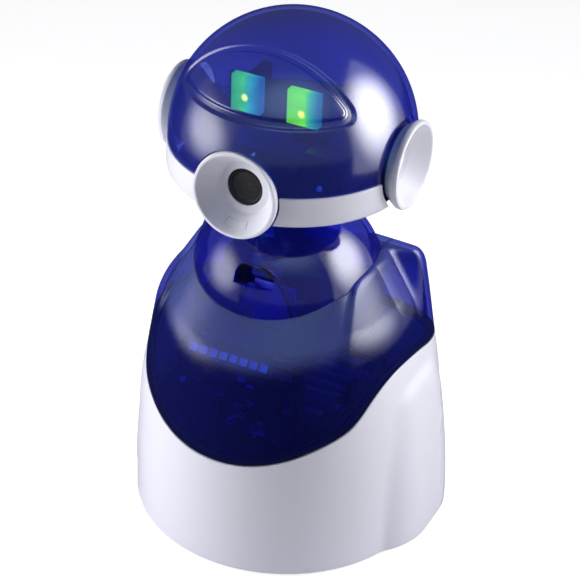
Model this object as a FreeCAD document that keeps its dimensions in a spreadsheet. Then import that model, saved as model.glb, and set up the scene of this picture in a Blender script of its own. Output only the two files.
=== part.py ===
import FreeCAD, Part
import math
import os
import Sketcher
from FreeCAD import Vector, Placement, Rotation

# Small domed-head robot on mecanum wheels.
# Millimetres, +Z up, -Y is the robot's front, +X its left.
# The origin is the centre of the footprint, on the floor.

doc = FreeCAD.newDocument("robot")
sheet = doc.addObject("Spreadsheet::Sheet", "Sheet")

SIZES = [
    # wall of the base and torso: half width, rear face and front arc centre at each level
    ("wall_low_w", 64.4), ("wall_low_rear", 63.0), ("wall_low_front", 1.4),
    ("wall_skirt_w", 63.7), ("wall_skirt_rear", 62.8), ("wall_skirt_front", 0.8), ("skirt_z", 22.0),
    ("wall_hip_w", 62.6), ("wall_hip_rear", 62.4), ("wall_hip_front", 0.3), ("hip_z", 42.0),
    ("wall_waist_w", 61.1), ("wall_waist_rear", 62.0), ("waist_z", 62.0),
    ("wall_rib_w", 57.2), ("wall_rib_rear", 61.6), ("rib_z", 84.0),
    ("wall_chest_w", 54.5), ("wall_chest_rear", 61.0), ("chest_z", 100.0),
    ("wall_neck_w", 51.0), ("wall_neck_rear", 60.0), ("neck_z", 119.5),
    ("wall_top_w", 48.0), ("wall_top_rear", 59.0), ("top_z", 136.0),
    ("corner_r", 46.0), ("wall_t", 2.4), ("skirt_gap", 1.6),
    # cap over the torso, turned about a vertical axis behind the neck
    ("cap_axis_y", 20.0), ("cap_peak", 127.0), ("cap_in_r", 27.0), ("cap_in_z", 126.5),
    ("cap_mid_r", 45.5), ("cap_mid_z", 125.4), ("cap_edge_r", 51.0), ("cap_edge_z", 123.6),
    ("cap_out_r", 74.6), ("cap_out_z", 95.5), ("cap_low_r", 90.0), ("cap_low_z", 77.2),
    # shoulders: a cone about the neck, left whole behind; and the slope down the back
    ("shoulder_top_r", 31.0), ("shoulder_low_r", 92.3), ("shoulder_low_z", 40.0), ("shoulder_tall", 100.0), ("shoulder_end_y", 19.5),
    ("back_y", 26.0), ("back_z", 126.5), ("back_angle", 47.73),
    # fenders
    ("fender_x", 38.4), ("fender_y", 6.75), ("fender_r", 31.6), ("fender_flat", 8.05), ("fender_half", 32.5), ("fender_top", 76.0),
    ("fender_lean", 3.6),
    # neck bulb
    ("bulb_r", 40.5), ("bulb_z", 110.0), ("bulb_t", 2.0), ("bulb_floor", 96.0), ("bulb_mouth", 13.0),
    # head
    ("dome_r", 50.0), ("dome_z", 178.5), ("dome_t", 2.0), ("dome_foot", 176.4),
    ("band_r", 50.6), ("band_top", 176.2), ("band_low", 162.9), ("band_t", 2.6),
    ("visor_y", 20.5), ("visor_z", 202.0), ("visor_w", 3.2), ("visor_deep", 0.8), ("visor_round", 6.0),
    # funnels and the round sensors in them
    ("funnel_r", 18.0), ("funnel_gap", 0.4), ("nose_y", 50.0), ("nose_z", 173.6), ("nose_up", 4.5),
    ("ear_x", 53.0), ("ear_y", 0.8), ("ear_z", 177.2), ("sensor_r", 8.0), ("sensor_long", 10.0),
    ("funnel_deep", 9.3),
    # wheels
    ("wheel_r", 18.0), ("wheel_x", 38.0), ("front_y", 15.0), ("rear_y", 27.0),
    ("roller_orbit", 13.2), ("roller_mid_r", 4.8), ("roller_end_r", 3.03), ("roller_long", 22.0),
    ("roller_arc", 35.0), ("pin_r", 0.8), ("roller_bore", 0.88), ("pin_long", 30.0),
    ("hub_r", 7.9), ("hub_bore", 1.55), ("side_r", 17.3), ("side_in", 10.2), ("side_t", 1.2),
    # chassis
    ("deck_z", 38.0), ("deck_t", 2.4), ("tray_z", 9.0), ("tray_t", 2.4), ("tray_half", 25.4),
    ("motor_long", 24.0), ("motor_w", 12.0), ("motor_tall", 10.0), ("shaft_r", 1.5),
    ("cell_r", 7.1), ("cell_long", 50.0),
    # neck and head drives
    ("servo_long", 22.8), ("servo_w", 12.2), ("servo_tall", 22.6), ("servo_z", 104.0),
    ("tilt_z", 170.0), ("post_r", 8.0), ("board_t", 1.6),
    ("eye_w", 13.0), ("eye_tall", 15.4), ("eye_deep", 4.0), ("eye_y", 19.5), ("eye_x", 11.5), ("eye_z", 198.6),
]


class Q:
    """A size with its value and the sheet expression that gives it."""

    def __init__(self, value, text):
        self.value, self.text = float(value), text

    def _with(self, other, op, value, swap=False):
        t = other.text if isinstance(other, Q) else repr(float(other))
        a, b = (t, self.text) if swap else (self.text, t)
        return Q(value, "(%s %s %s)" % (a, op, b))

    def __add__(self, o):
        return self._with(o, "+", self.value + num(o))

    def __radd__(self, o):
        return self._with(o, "+", num(o) + self.value, True)

    def __sub__(self, o):
        return self._with(o, "-", self.value - num(o))

    def __rsub__(self, o):
        return self._with(o, "-", num(o) - self.value, True)

    def __mul__(self, o):
        return self._with(o, "*", self.value * num(o))

    def __rmul__(self, o):
        return self._with(o, "*", num(o) * self.value, True)

    def __truediv__(self, o):
        return self._with(o, "/", self.value / num(o))

    def __neg__(self):
        return Q(-self.value, "(0 - %s)" % self.text)


def num(o):
    return o.value if isinstance(o, Q) else float(o)


S = {}
for row, (alias, value) in enumerate(SIZES, 1):
    sheet.set("A%d" % row, alias)
    sheet.set("B%d" % row, str(value))
    sheet.setAlias("B%d" % row, alias)
    S[alias] = Q(value, "Sheet." + alias)
doc.recompute()


def bind(obj, prop, q):
    if isinstance(q, Q):
        obj.setExpression(prop, q.text)
    elif "." not in prop:
        setattr(obj, prop, q)


def put(obj, x=0, y=0, z=0, axis=None, angle=0):
    rot = Rotation(Vector(*axis), num(angle)) if axis else Rotation()
    obj.Placement = Placement(Vector(num(x), num(y), num(z)), rot)
    for name, q in (("x", x), ("y", y), ("z", z)):
        if isinstance(q, Q):
            obj.setExpression("Placement.Base." + name, q.text)
    return obj


def box(name, long, wide, tall, x=0, y=0, z=0, middle=True, axis=None, angle=0):
    o = doc.addObject("Part::Box", name)
    for prop, q in (("Length", long), ("Width", wide), ("Height", tall)):
        setattr(o, prop, num(q))
        bind(o, prop, q)
    if middle:
        x, y = x - long / 2 if isinstance(long, Q) or isinstance(x, Q) else x - long / 2.0, y - wide / 2.0
    return put(o, x, y, z, axis, angle)


def rod(name, r, long, x=0, y=0, z=0, axis=None, angle=0):
    o = doc.addObject("Part::Cylinder", name)
    o.Radius, o.Height = num(r), num(long)
    bind(o, "Radius", r)
    bind(o, "Height", long)
    return put(o, x, y, z, axis, angle)


def ball(name, r, x=0, y=0, z=0):
    o = doc.addObject("Part::Sphere", name)
    o.Radius = num(r)
    bind(o, "Radius", r)
    return put(o, x, y, z)


def cut(name, a, b):
    o = doc.addObject("Part::Cut", name)
    o.Base, o.Tool = a, b
    return o


def fuse(name, *items):
    o = doc.addObject("Part::MultiFuse", name)
    o.Shapes = list(items)
    o.Refine = True
    return o


def common(name, a, b):
    o = doc.addObject("Part::MultiCommon", name)
    o.Shapes = [a, b]
    return o


def turned(name, pts, arcs=None, x=0, y=0, z=0, axis=None, angle=0):
    """A body turned about its own Z axis from corners (radius, height)."""
    body = doc.addObject("PartDesign::Body", name)
    sk = body.newObject("Sketcher::SketchObject", name + "_sketch")
    plane = next(f for f in body.Origin.OriginFeatures if f.Role == "XZ_Plane")
    sk.AttachmentSupport = [(plane, "")]
    sk.MapMode = "FlatFace"
    arcs = arcs or {}
    n = len(pts)
    xy = [(num(a), num(b)) for a, b in pts]
    ends = []
    for i in range(n):
        a, b = Vector(*xy[i], 0), Vector(*xy[(i + 1) % n], 0)
        if i in arcs:
            bulge = num(arcs[i])
            mid, d = (a + b) / 2, b - a
            h = abs(bulge) - math.sqrt(bulge ** 2 - (d.Length / 2) ** 2)
            side = Vector(d.y, -d.x, 0).normalize() * (h if bulge > 0 else -h)
            sk.addGeometry(Part.Arc(a, mid + side, b), False)
            arc = sk.Geometry[i]
            first = arc.StartPoint.distanceToPoint(a) < 1e-6
            ends.append((1, 2) if first else (2, 1))
        else:
            sk.addGeometry(Part.LineSegment(a, b), False)
            ends.append((1, 2))
    for i in range(n):
        j = (i + 1) % n
        sk.addConstraint(Sketcher.Constraint("Coincident", i, ends[i][1], j, ends[j][0]))
    for i in range(n):
        for kind, q, v in (("DistanceX", pts[i][0], xy[i][0]), ("DistanceY", pts[i][1], xy[i][1])):
            k = sk.addConstraint(Sketcher.Constraint(kind, -1, 1, i, ends[i][0], v))
            if isinstance(q, Q):
                sk.setExpression("Constraints[%d]" % k, q.text)
    for i, q in arcs.items():
        k = sk.addConstraint(Sketcher.Constraint("Radius", i, abs(num(q))))
        if isinstance(q, Q):
            sk.setExpression("Constraints[%d]" % k, q.text if num(q) > 0 else "(0 - %s)" % q.text)
    rev = body.newObject("PartDesign::Revolution", name + "_turn")
    rev.Profile = sk
    rev.ReferenceAxis = (sk, ["V_Axis"])
    rev.Angle = 360
    body.Tip = rev
    return put(body, x, y, z, axis, angle)


def section(name, w, rear, front, z, less):
    """The D outline of the wall: round front, straight sides, round rear corners."""
    sk = doc.addObject("Sketcher::SketchObject", name)
    w, rear, r = w - less, rear - less, S["corner_r"] - less
    W, Y, R, F = num(w), num(rear), num(r), num(front)
    c = Vector(0, F, 0)
    arc = Part.Circle(c, Vector(0, 0, 1), W)
    sk.addGeometry(Part.ArcOfCircle(arc, math.pi, 2 * math.pi), False)
    sk.addGeometry(Part.LineSegment(Vector(W, F, 0), Vector(W, Y - R, 0)), False)
    sk.addGeometry(Part.ArcOfCircle(Part.Circle(Vector(W - R, Y - R, 0), Vector(0, 0, 1), R), 0, math.pi / 2), False)
    sk.addGeometry(Part.LineSegment(Vector(W - R, Y, 0), Vector(R - W, Y, 0)), False)
    sk.addGeometry(Part.ArcOfCircle(Part.Circle(Vector(R - W, Y - R, 0), Vector(0, 0, 1), R), math.pi / 2, math.pi), False)
    sk.addGeometry(Part.LineSegment(Vector(-W, Y - R, 0), Vector(-W, F, 0)), False)
    for i, a, j, b in ((0, 2, 1, 1), (1, 2, 2, 1), (2, 2, 3, 1), (3, 2, 4, 1), (4, 2, 5, 1), (5, 2, 0, 1)):
        sk.addConstraint(Sketcher.Constraint("Tangent", i, a, j, b))
    sk.addConstraint(Sketcher.Constraint("Vertical", 1))
    sk.addConstraint(Sketcher.Constraint("Horizontal", 3))
    sk.addConstraint(Sketcher.Constraint("Vertical", 5))
    sk.addConstraint(Sketcher.Constraint("PointOnObject", 0, 3, -2))
    sk.addConstraint(Sketcher.Constraint("Equal", 2, 4))
    for kind, args, q in (
        ("DistanceY", (-1, 1, 0, 3), front),
        ("Radius", (0,), w),
        ("Radius", (2,), r),
        ("DistanceY", (-1, 1, 3, 1), rear),
    ):
        k = sk.addConstraint(Sketcher.Constraint(kind, *args, num(q)))
        if isinstance(q, Q):
            sk.setExpression("Constraints[%d]" % k, q.text)
    return put(sk, 0, 0, z)


def wall(name, less, low):
    levels = [
        (S["wall_low_w"], S["wall_low_rear"], S["wall_low_front"], low),
        (S["wall_skirt_w"], S["wall_skirt_rear"], S["wall_skirt_front"], S["skirt_z"]),
        (S["wall_hip_w"], S["wall_hip_rear"], S["wall_hip_front"], S["hip_z"]),
        (S["wall_waist_w"], S["wall_waist_rear"], 0.0, S["waist_z"]),
        (S["wall_rib_w"], S["wall_rib_rear"], 0.0, S["rib_z"]),
        (S["wall_chest_w"], S["wall_chest_rear"], 0.0, S["chest_z"]),
        (S["wall_neck_w"], S["wall_neck_rear"], 0.0, S["neck_z"]),
        (S["wall_top_w"], S["wall_top_rear"], 0.0, S["top_z"]),
    ]
    loft = doc.addObject("Part::Loft", name)
    loft.Sections = [section("%s_level_%d" % (name, i), w, r, f, z, less) for i, (w, r, f, z) in enumerate(levels)]
    loft.Solid = True
    loft.Ruled = True
    return loft


NODES = []


def node(obj, label):
    obj.Label = label
    NODES.append(obj)
    return obj


t = S["wall_t"]

# ---------------------------------------------------------------- base and torso
wall_out = wall("wall_out", 0.0, S["skirt_gap"])
wall_in = wall("wall_in", t, S["skirt_gap"] - 0.4)
wall_out2 = wall("wall_out_b", 0.0, S["skirt_gap"])
wall_in2 = wall("wall_in_b", t, S["skirt_gap"] - 0.4)

# the line where white meets blue, seen from the side: (y, z)
PARTING = [
    (-80, 45), (-66, 51.5), (-61, 55), (-54, 60), (-46, 65), (-40, 68), (-36.5, 70), (-33, 73),
    (-29, 78.4), (-24.7, 83.8), (-20, 88.7), (-14, 91.4), (-6.6, 92.2), (2.4, 90.4), (27, 83),
    (46, 76), (62, 70.5), (80, 67),
]


def parting_face(name):
    curve = Part.BSplineCurve()
    curve.interpolate([Vector(-80, a, b) for a, b in PARTING])
    top = curve.toShape()
    p, q = Vector(-80, *PARTING[0]), Vector(-80, *PARTING[-1])
    a, b = Vector(-80, PARTING[0][0], -20), Vector(-80, PARTING[-1][0], -20)
    f = doc.addObject("Part::Feature", name)
    f.Shape = Part.Face(Part.Wire([top, Part.makeLine(q, b), Part.makeLine(b, a), Part.makeLine(a, p)]))
    return f


def below(name):
    e = doc.addObject("Part::Extrusion", name)
    e.Base = parting_face(name + "_face")
    e.DirMode = "Custom"
    e.Dir = Vector(1, 0, 0)
    e.LengthFwd = 160
    e.Solid = True
    return e


def slot_section(name, side, z, less):
    """Round-ended outline of the fender at one height; it moves in towards the wall as it rises."""
    sk = doc.addObject("Sketcher::SketchObject", name)
    r = S["fender_r"] - less
    away = S["fender_lean"] * (max(z - 5.0, 0.0) / 45.0) ** 2
    cx, cy, h, R = num(S["fender_x"]) - num(away), num(S["fender_y"]), num(S["fender_flat"]), num(r)
    up = Vector(0, 0, 1)
    sk.addGeometry(Part.ArcOfCircle(Part.Circle(Vector(cx, cy - h, 0), up, R), math.pi, 2 * math.pi), False)
    sk.addGeometry(Part.LineSegment(Vector(cx + R, cy - h, 0), Vector(cx + R, cy + h, 0)), False)
    sk.addGeometry(Part.ArcOfCircle(Part.Circle(Vector(cx, cy + h, 0), up, R), 0, math.pi), False)
    sk.addGeometry(Part.LineSegment(Vector(cx - R, cy + h, 0), Vector(cx - R, cy - h, 0)), False)
    for i, p, j, q in ((0, 2, 1, 1), (1, 2, 2, 1), (2, 2, 3, 1), (3, 2, 0, 1)):
        sk.addConstraint(Sketcher.Constraint("Tangent", i, p, j, q))
    sk.addConstraint(Sketcher.Constraint("Vertical", 1))
    for kind, args, q, v in (
        ("Radius", (0,), r, R),
        ("DistanceX", (-1, 1, 0, 3), S["fender_x"] - away, cx),
        ("DistanceY", (-1, 1, 0, 3), S["fender_y"] - S["fender_flat"], cy - h),
        ("DistanceY", (0, 3, 2, 3), S["fender_flat"] * 2.0, 2 * h),
    ):
        k = sk.addConstraint(Sketcher.Constraint(kind, *args, v))
        sk.setExpression("Constraints[%d]" % k, q.text)
    if side < 0:
        sk.Placement = Placement(Vector(0, 2 * cy, z), Rotation(Vector(0, 0, 1), 180))
    else:
        put(sk, 0, 0, z)
    return sk


def fender(name, side, less):
    """A low arch on the side of the base; the outside leans in as it rises."""
    arch = doc.addObject("Part::Feature", name + "_arch")
    half, top = num(S["fender_half"]) - less, num(S["fender_top"]) - less
    p = []
    for i in range(0, 41):
        a = math.pi * i / 40
        c, s = math.cos(a), math.sin(a)
        p.append(Vector(0, num(S["fender_y"]) - half * math.copysign(abs(c) ** (2 / 4.0), c), top * s ** (2 / 2.3)))
    curve = Part.BSplineCurve()
    curve.interpolate(p)
    foot = [Vector(0, p[0].y, 0), Vector(0, p[0].y, -1), Vector(0, p[-1].y, -1), Vector(0, p[-1].y, 0)]
    edges = [curve.toShape(), Part.makeLine(foot[3], foot[2]), Part.makeLine(foot[2], foot[1]), Part.makeLine(foot[1], foot[0])]
    arch.Shape = Part.Face(Part.Wire(edges))
    e = doc.addObject("Part::Extrusion", name + "_slab")
    e.Base = arch
    e.DirMode = "Custom"
    e.Dir = Vector(side, 0, 0)
    e.LengthFwd = 90
    e.Solid = True
    lean = doc.addObject("Part::Loft", name + "_lean")
    lean.Sections = [slot_section("%s_slot_%d" % (name, i), side, z, less) for i, z in enumerate((0.5, 12.0, 24.0, 36.0, 48.0, 60.0, 78.0))]
    lean.Solid = True
    lean.Ruled = True
    both = common(name + "_block", e, lean)
    floor = box(name + "_floor", 200.0, 200.0, 40.0, 0, 0, -40.0 + S["skirt_gap"] - (0.4 if less else 0.0))
    return cut(name, both, floor)


base_out = fuse("base_out", common("base_low_out", wall_out, below("parting_a")), fender("fender_left", 1, 0), fender("fender_right", -1, 0))
base_in = fuse("base_in", wall_in, fender("fender_left_in", 1, 2.4), fender("fender_right_in", -1, 2.4))
switch_hole = box("switch_hole", 11.4, 20.0, 17.4, 0, 62, 46.0)
node(cut("base_cut", cut("base_hollow", base_out, base_in), switch_hole), "base_shell")


def cap(name, less):
    k = num(less)
    pts = [
        (0.0, 40.0), (S["cap_low_r"], 40.0), (S["cap_low_r"], S["cap_low_z"] - 1.56 * k),
        (S["cap_out_r"], S["cap_out_z"] - 1.56 * k),
        (S["cap_edge_r"], S["cap_edge_z"] - 1.3 * k), (S["cap_mid_r"], S["cap_mid_z"] - 1.06 * k),
        (S["cap_in_r"], S["cap_in_z"] - k), (0.0, S["cap_peak"] - k),
    ]
    chest = turned(name, pts, None, 0, S["cap_axis_y"], 0)
    cone = doc.addObject("Part::Cone", name + "_shoulder")
    for prop, q in (("Radius1", S["shoulder_low_r"] - 1.173 * k), ("Radius2", S["shoulder_top_r"] - 1.173 * k), ("Height", S["shoulder_tall"])):
        setattr(cone, prop, num(q))
        bind(cone, prop, q)
    put(cone, 0, 0, S["shoulder_low_z"])
    rear = box(name + "_rear", 200.0, 80.0, 100.0, -100.0, S["shoulder_end_y"] + k, 40.0, middle=False)
    a = math.radians(num(S["back_angle"]))
    back = box(name + "_back", 200.0, 200.0, 200.0, 0, 0, 0, middle=False)
    n, u = Vector(0, math.sin(a), math.cos(a)), Vector(0, math.cos(a), -math.sin(a))
    foot = Vector(-100, num(S["back_y"]), num(S["back_z"])) - u * 100 - n * (200 + k)
    back.Placement = Placement(foot, Rotation(Vector(1, 0, 0), -num(S["back_angle"])))
    return common(name + "_both", common(name + "_front", chest, fuse(name + "_sides", cone, rear)), back)


torso_out = common("torso_out", wall_out2, cap("cap_out", 0.0))
torso_in = common("torso_in", wall_in2, cap("cap_in", 2.4))
neck_hole = ball("neck_hole", S["bulb_r"] + 0.15, 0, 0, S["bulb_z"])
node(cut("torso_cut", cut("torso_low", cut("torso_hollow", torso_out, torso_in), below("parting_b")), neck_hole), "torso_shell")

# ---------------------------------------------------------------- neck bulb
bulb = cut("bulb_hollow", ball("bulb_ball", S["bulb_r"], 0, 0, S["bulb_z"]), ball("bulb_void", S["bulb_r"] - S["bulb_t"], 0, 0, S["bulb_z"]))
bulb = cut("bulb_open", bulb, box("bulb_under", 100.0, 100.0, 50.0, 0, 0, S["bulb_floor"] - 50.0))
bulb = cut("bulb_mouthed", bulb, rod("bulb_mouth_tool", S["bulb_mouth"], 40.0, 0, 0, 130.0))
window = doc.addObject("Part::Fillet", "neck_window_tool")
window.Base = box("neck_window_box", 17.0, 24.0, 7.6, 2.0, -36.0, 125.6)
doc.recompute()
ups = [i + 1 for i, e in enumerate(window.Base.Shape.Edges)
       if abs(e.Vertexes[0].Y - e.Vertexes[1].Y) > 10 ]
window.Edges = [(i, 3.7, 3.7) for i in ups]
node(cut("bulb_windowed", bulb, window), "neck_dome")

# ---------------------------------------------------------------- head shell
def funnel_holes(prefix, r):
    a = rod(prefix + "_nose", r, 40.0, 0, -(S["nose_y"] + 5.0), S["nose_z"], (1, 0, 0), -90 + 4.5)
    b = rod(prefix + "_ears", r, 130.0, -65.0, S["ear_y"], S["ear_z"], (0, 1, 0), 90)
    mid = box(prefix + "_mid", 70.0, 60.0, 60.0, 0, 0, 150.0)
    return fuse(prefix, a, cut(prefix + "_ear_ends", b, mid))


dome = cut("dome_hollow", ball("dome_ball", S["dome_r"], 0, 0, S["dome_z"]), ball("dome_void", S["dome_r"] - S["dome_t"], 0, 0, S["dome_z"]))
dome = cut("dome_open", dome, box("dome_under", 120.0, 120.0, 80.0, 0, 0, S["dome_foot"] - 80.0))


def visor_block(name, less, round_r):
    b = box(name + "_box", 140.0, 60.0, 60.0, -70.0, -(S["visor_y"] + less + 60.0), S["visor_z"] + less, middle=False)
    f = doc.addObject("Part::Fillet", name)
    f.Base = b
    doc.recompute()
    pick = [i + 1 for i, e in enumerate(b.Shape.Edges)
            if abs(e.Vertexes[0].X - e.Vertexes[1].X) > 100
            and abs(e.Vertexes[0].Y + num(S["visor_y"]) + less) < 0.1 and abs(e.Vertexes[0].Z - num(S["visor_z"]) - less) < 0.1]
    f.Edges = [(i, round_r, round_r) for i in pick]
    return f


groove = cut("visor_loop", visor_block("visor_out", 0.0, 6.0), visor_block("visor_in", 3.2, 3.5))
rind = cut("visor_rind", ball("visor_ball", S["dome_r"] + 1.0, 0, 0, S["dome_z"]), ball("visor_core", S["dome_r"] - S["visor_deep"], 0, 0, S["dome_z"]))
dome = cut("dome_grooved", dome, common("visor_groove", groove, rind))
node(cut("dome_holed", dome, funnel_holes("dome_holes", S["funnel_r"] + S["funnel_gap"])), "head_dome")

band = turned("band_turn", [
    (S["band_r"] - S["band_t"], S["band_low"] + 1.2), (S["band_r"] - S["band_t"] - 0.9, S["band_low"]),
    (S["band_r"] - 2.0, S["band_low"]), (S["band_r"] - 0.5, S["band_low"] + 1.6),
    (S["band_r"], S["band_low"] + 4.4), (S["band_r"], S["band_top"]), (S["band_r"] - S["band_t"], S["band_top"]),
])
node(cut("band_holed", band, funnel_holes("band_holes", S["funnel_r"] + S["funnel_gap"])), "head_band")


def funnel(name, x, y, z, axis, angle):
    """Flared cup: +Z of the profile runs out of the mouth, the rim is at height 0."""
    r, d = S["funnel_r"], S["funnel_deep"]
    f = turned(name, [
        (r - 1.2, 0.0), (r - 0.4, 0.0), (r, -0.5), (r, -1.8), (r - 5.6, -(d + 0.9)), (r - 6.8, -(d + 1.4)),
        (r - 6.8, -(d + 6.0)), (S["sensor_r"] + 0.03, -(d + 6.0)), (S["sensor_r"] + 0.03, -(d + 0.8)),
        (S["sensor_r"] - 0.3, -(d + 0.8)), (S["sensor_r"] - 0.3, -d), (r - 7.4, -d),
    ], None, x, y, z, axis, angle)
    return f


def sensor(name, x, y, z, axis, angle):
    d, r = S["funnel_deep"], S["sensor_r"]
    return turned(name, [
        (0.0, -(d + 1.6)), (r - 1.4, -(d + 1.6)), (r - 1.1, -(d + 0.8)), (r, -(d + 0.8)),
        (r, -(d + 0.8 + S["sensor_long"])), (0.0, -(d + 0.8 + S["sensor_long"])),
    ], None, x, y, z, axis, angle)


spots = {
    "nose": (0, -S["nose_y"], S["nose_z"], (1, 0, 0), 90 - 4.5),
    "ear_left": (S["ear_x"], S["ear_y"], S["ear_z"], (0, 1, 0), 90),
    "ear_right": (-S["ear_x"], S["ear_y"], S["ear_z"], (0, 1, 0), -90),
}
for name, (x, y, z, axis, angle) in spots.items():
    cup = funnel(name + "_cup", x, y, z, axis, angle)
    node(cup, name + "_funnel")
    node(sensor(name + "_can", x, y, z, axis, angle), name + "_sensor")

# ---------------------------------------------------------------- head inside
floor_r = S["band_r"] - S["band_t"] - 0.1
plate = cut("head_plate_ring", rod("head_plate", floor_r, 2.0, 0, 0, S["band_low"] + 1.4), box("head_plate_hole", 34.0, 44.0, 10.0, 0, 5.5, 160.0))
for k, (x, y) in enumerate(((-46.0, 0.8), (46.0, 0.8))):
    plate = cut("head_plate_ear_%d" % k, plate, box("head_plate_ear_box_%d" % k, 28.0, 38.0, 10.0, x, y, 160.0))
plate = cut("head_plate_nose", plate, box("head_plate_nose_box", 38.0, 40.0, 10.0, 0, -48.0, 160.0))
arm_l = cut("tilt_arm_left_bored", box("tilt_arm_left", 2.4, 11.0, 14.0, 18.6, 0.0, 164.6), rod("tilt_arm_bore", 2.45, 8.0, 15.0, 0, S["tilt_z"], (0, 1, 0), 90))
arm_r = box("tilt_arm_right", 2.4, 11.0, 14.0, -18.6, 0.0, 164.6)
axle_r = rod("tilt_pin_right", 1.5, 7.7, -19.5, 0, S["tilt_z"], (0, 1, 0), 90)
mast_l = box("face_mast_left", 4.0, 3.0, 34.0, -19.0, 12.0, 164.6)
mast_r = box("face_mast_right", 4.0, 3.0, 34.0, 19.0, 12.0, 164.6)
beam_l = box("face_beam_left", 4.0, 25.1, 3.0, -19.0, 0.95, 195.6)
beam_r = box("face_beam_right", 4.0, 25.1, 3.0, 19.0, 0.95, 195.6)
node(fuse("head_frame_all", plate, arm_l, arm_r, axle_r, mast_l, mast_r, beam_l, beam_r), "head_frame")

face = box("face_plate", 44.0, S["board_t"], 22.0, 0, -12.4, 183.0)
for k, (x, z, w, d, hgt) in enumerate(((-13.0, 184.0, 9.0, 2.4, 6.0), (0.0, 183.5, 7.0, 1.6, 7.0), (12.5, 184.0, 10.0, 3.0, 5.0))):
    face = fuse("face_with_%d" % k, face, box("face_part_%d" % k, w, d, hgt, x, -13.2 - d / 2, z))
node(face, "face_board")

for side, name in ((1, "eye_left"), (-1, "eye_right")):
    f = doc.addObject("Part::Fillet", name + "_soft")
    f.Base = box(name + "_block", S["eye_w"], S["eye_deep"], S["eye_tall"], side * S["eye_x"], -(S["eye_y"] - 4.2), S["eye_z"] - S["eye_tall"] / 2)
    doc.recompute()
    pick = [i + 1 for i, e in enumerate(f.Base.Shape.Edges) if abs(e.Vertexes[0].Y - e.Vertexes[1].Y) > 3]
    f.Edges = [(i, 1.6, 1.6) for i in pick]
    node(f, name)

# ---------------------------------------------------------------- neck drive
def servo(name, x, y, z, axis, angle):
    """Small servo: the shaft is on the local Z axis, the case runs to +X, the top is at height 0."""
    L, w, h = S["servo_long"], S["servo_w"], S["servo_tall"]
    case = box(name + "_case", L, w, h, -5.9, -w / 2, -h, middle=False)
    tabs = box(name + "_tabs", L + 9.4, w, 2.4, -10.6, -w / 2, -6.6, middle=False)
    boss = rod(name + "_boss", 5.8, 3.6, 0, 0, -0.2)
    gear = rod(name + "_gear", 2.6, 3.8, 8.8, 0, -0.2)
    shaft = rod(name + "_shaft", 2.4, 3.2, 0, 0, 3.2)
    holes = fuse(name + "_holes", rod(name + "_hole_a", 1.0, 6.0, -8.3, 0, -8.0), rod(name + "_hole_b", 1.0, 6.0, 19.3, 0, -8.0))
    whole = cut(name + "_whole", fuse(name + "_sum", case, tabs, boss, gear, shaft), holes)
    return put(whole, x, y, z, axis, angle)


node(servo("pan_drive", 0, 0, S["servo_z"] + S["servo_tall"], None, 0), "pan_servo")
shelf = box("servo_shelf", 58.8, 18.0, 2.0, 3.7, 0, 118.0)
shelf = cut("servo_shelf_open", shelf, box("servo_shelf_hole", 23.4, 12.8, 6.0, 5.5, 0, 116.0))
leg_a = box("servo_leg_a", 2.4, 18.0, 24.0, -24.5, 0, 95.0)
leg_b = box("servo_leg_b", 2.4, 18.0, 24.0, 31.9, 0, 95.0)
foot = cut("servo_foot_ring", rod("servo_foot", 38.0, 1.95, 0, 0, 94.0), rod("servo_foot_hole", 20.0, 6.0, 0, 0, 92.0))
node(fuse("neck_frame_all", shelf, leg_a, leg_b, foot), "neck_frame")

post = turned("post_turn", [
    (2.45, 130.3), (6.5, 130.3), (6.5, 140.0), (S["post_r"], 141.5), (S["post_r"], 157.0), (11.0, 158.5), (11.0, 160.5),
    (0.0, 160.5), (0.0, 134.6), (2.45, 134.6),
])
cradle = box("post_cradle", 25.8, 23.0, 3.5, -0.9, 5.5, 160.3)
ear_b = cut("post_ear_bored", box("post_ear", 2.2, 12.0, 15.7, -12.7, 0, 160.3), rod("post_ear_bore", 1.56, 10.0, -17.0, 0, S["tilt_z"], (0, 1, 0), 90))
node(fuse("post_all", post, cradle, ear_b), "pan_post")
tilt = servo("tilt_drive", 11.5, 0, S["tilt_z"], (0, 1, 0), 90)
tilt.Placement = Placement(Vector(11.5, 0, num(S["tilt_z"])), Rotation(Vector(1, 1, 1), 120))
node(tilt, "tilt_servo")

# ---------------------------------------------------------------- chassis
def plate_outline(name, less, z0, thick):
    body = doc.addObject("Part::Extrusion", name)
    body.Base = section(name + "_line", S["wall_waist_w"], S["wall_waist_rear"], 0.0, z0, less)
    body.DirMode = "Custom"
    body.Dir = Vector(0, 0, 1)
    body.LengthFwd = num(thick)
    bind(body, "LengthFwd", thick)
    body.Solid = True
    return body


deck = plate_outline("deck_plate", 3.4, S["deck_z"], S["deck_t"])
deck = cut("deck_bored", deck, rod("deck_hole", 7.0, 10.0, 0, -46.0, 34.0))
ribs = [
    box("chest_rib_a", 3.0, 6.0, 53.55, -25.5, -38.9, S["deck_z"] + S["deck_t"]),
    box("chest_rib_b", 3.0, 6.0, 53.55, 25.5, -38.9, S["deck_z"] + S["deck_t"]),
    box("chest_rib_top", 54.0, 4.0, 2.0, 0, -38.3, S["deck_z"] + S["deck_t"] + 51.55),
    box("chest_rib_web_a", 3.0, 24.0, 3.0, -25.5, -24.0, 90.95),
    box("chest_rib_web_b", 3.0, 24.0, 3.0, 25.5, -24.0, 90.95),
]

tray = box("tray_plate", S["tray_half"] * 2, 84.0, S["tray_t"], 0, 6.0, S["tray_z"])
walls = [
    box("tray_front", S["tray_half"] * 2, 2.0, S["deck_z"] - S["tray_z"], 0, -35.0, S["tray_z"]),
    box("tray_rear", S["tray_half"] * 2, 2.0, S["deck_z"] - S["tray_z"], 0, 47.0, S["tray_z"]),
    box("tray_mid", 30.0, 2.0, S["deck_z"] - S["tray_z"], 0, 6.0, S["tray_z"]),
]
node(fuse("tray_all", tray, *walls), "motor_tray")

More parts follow.
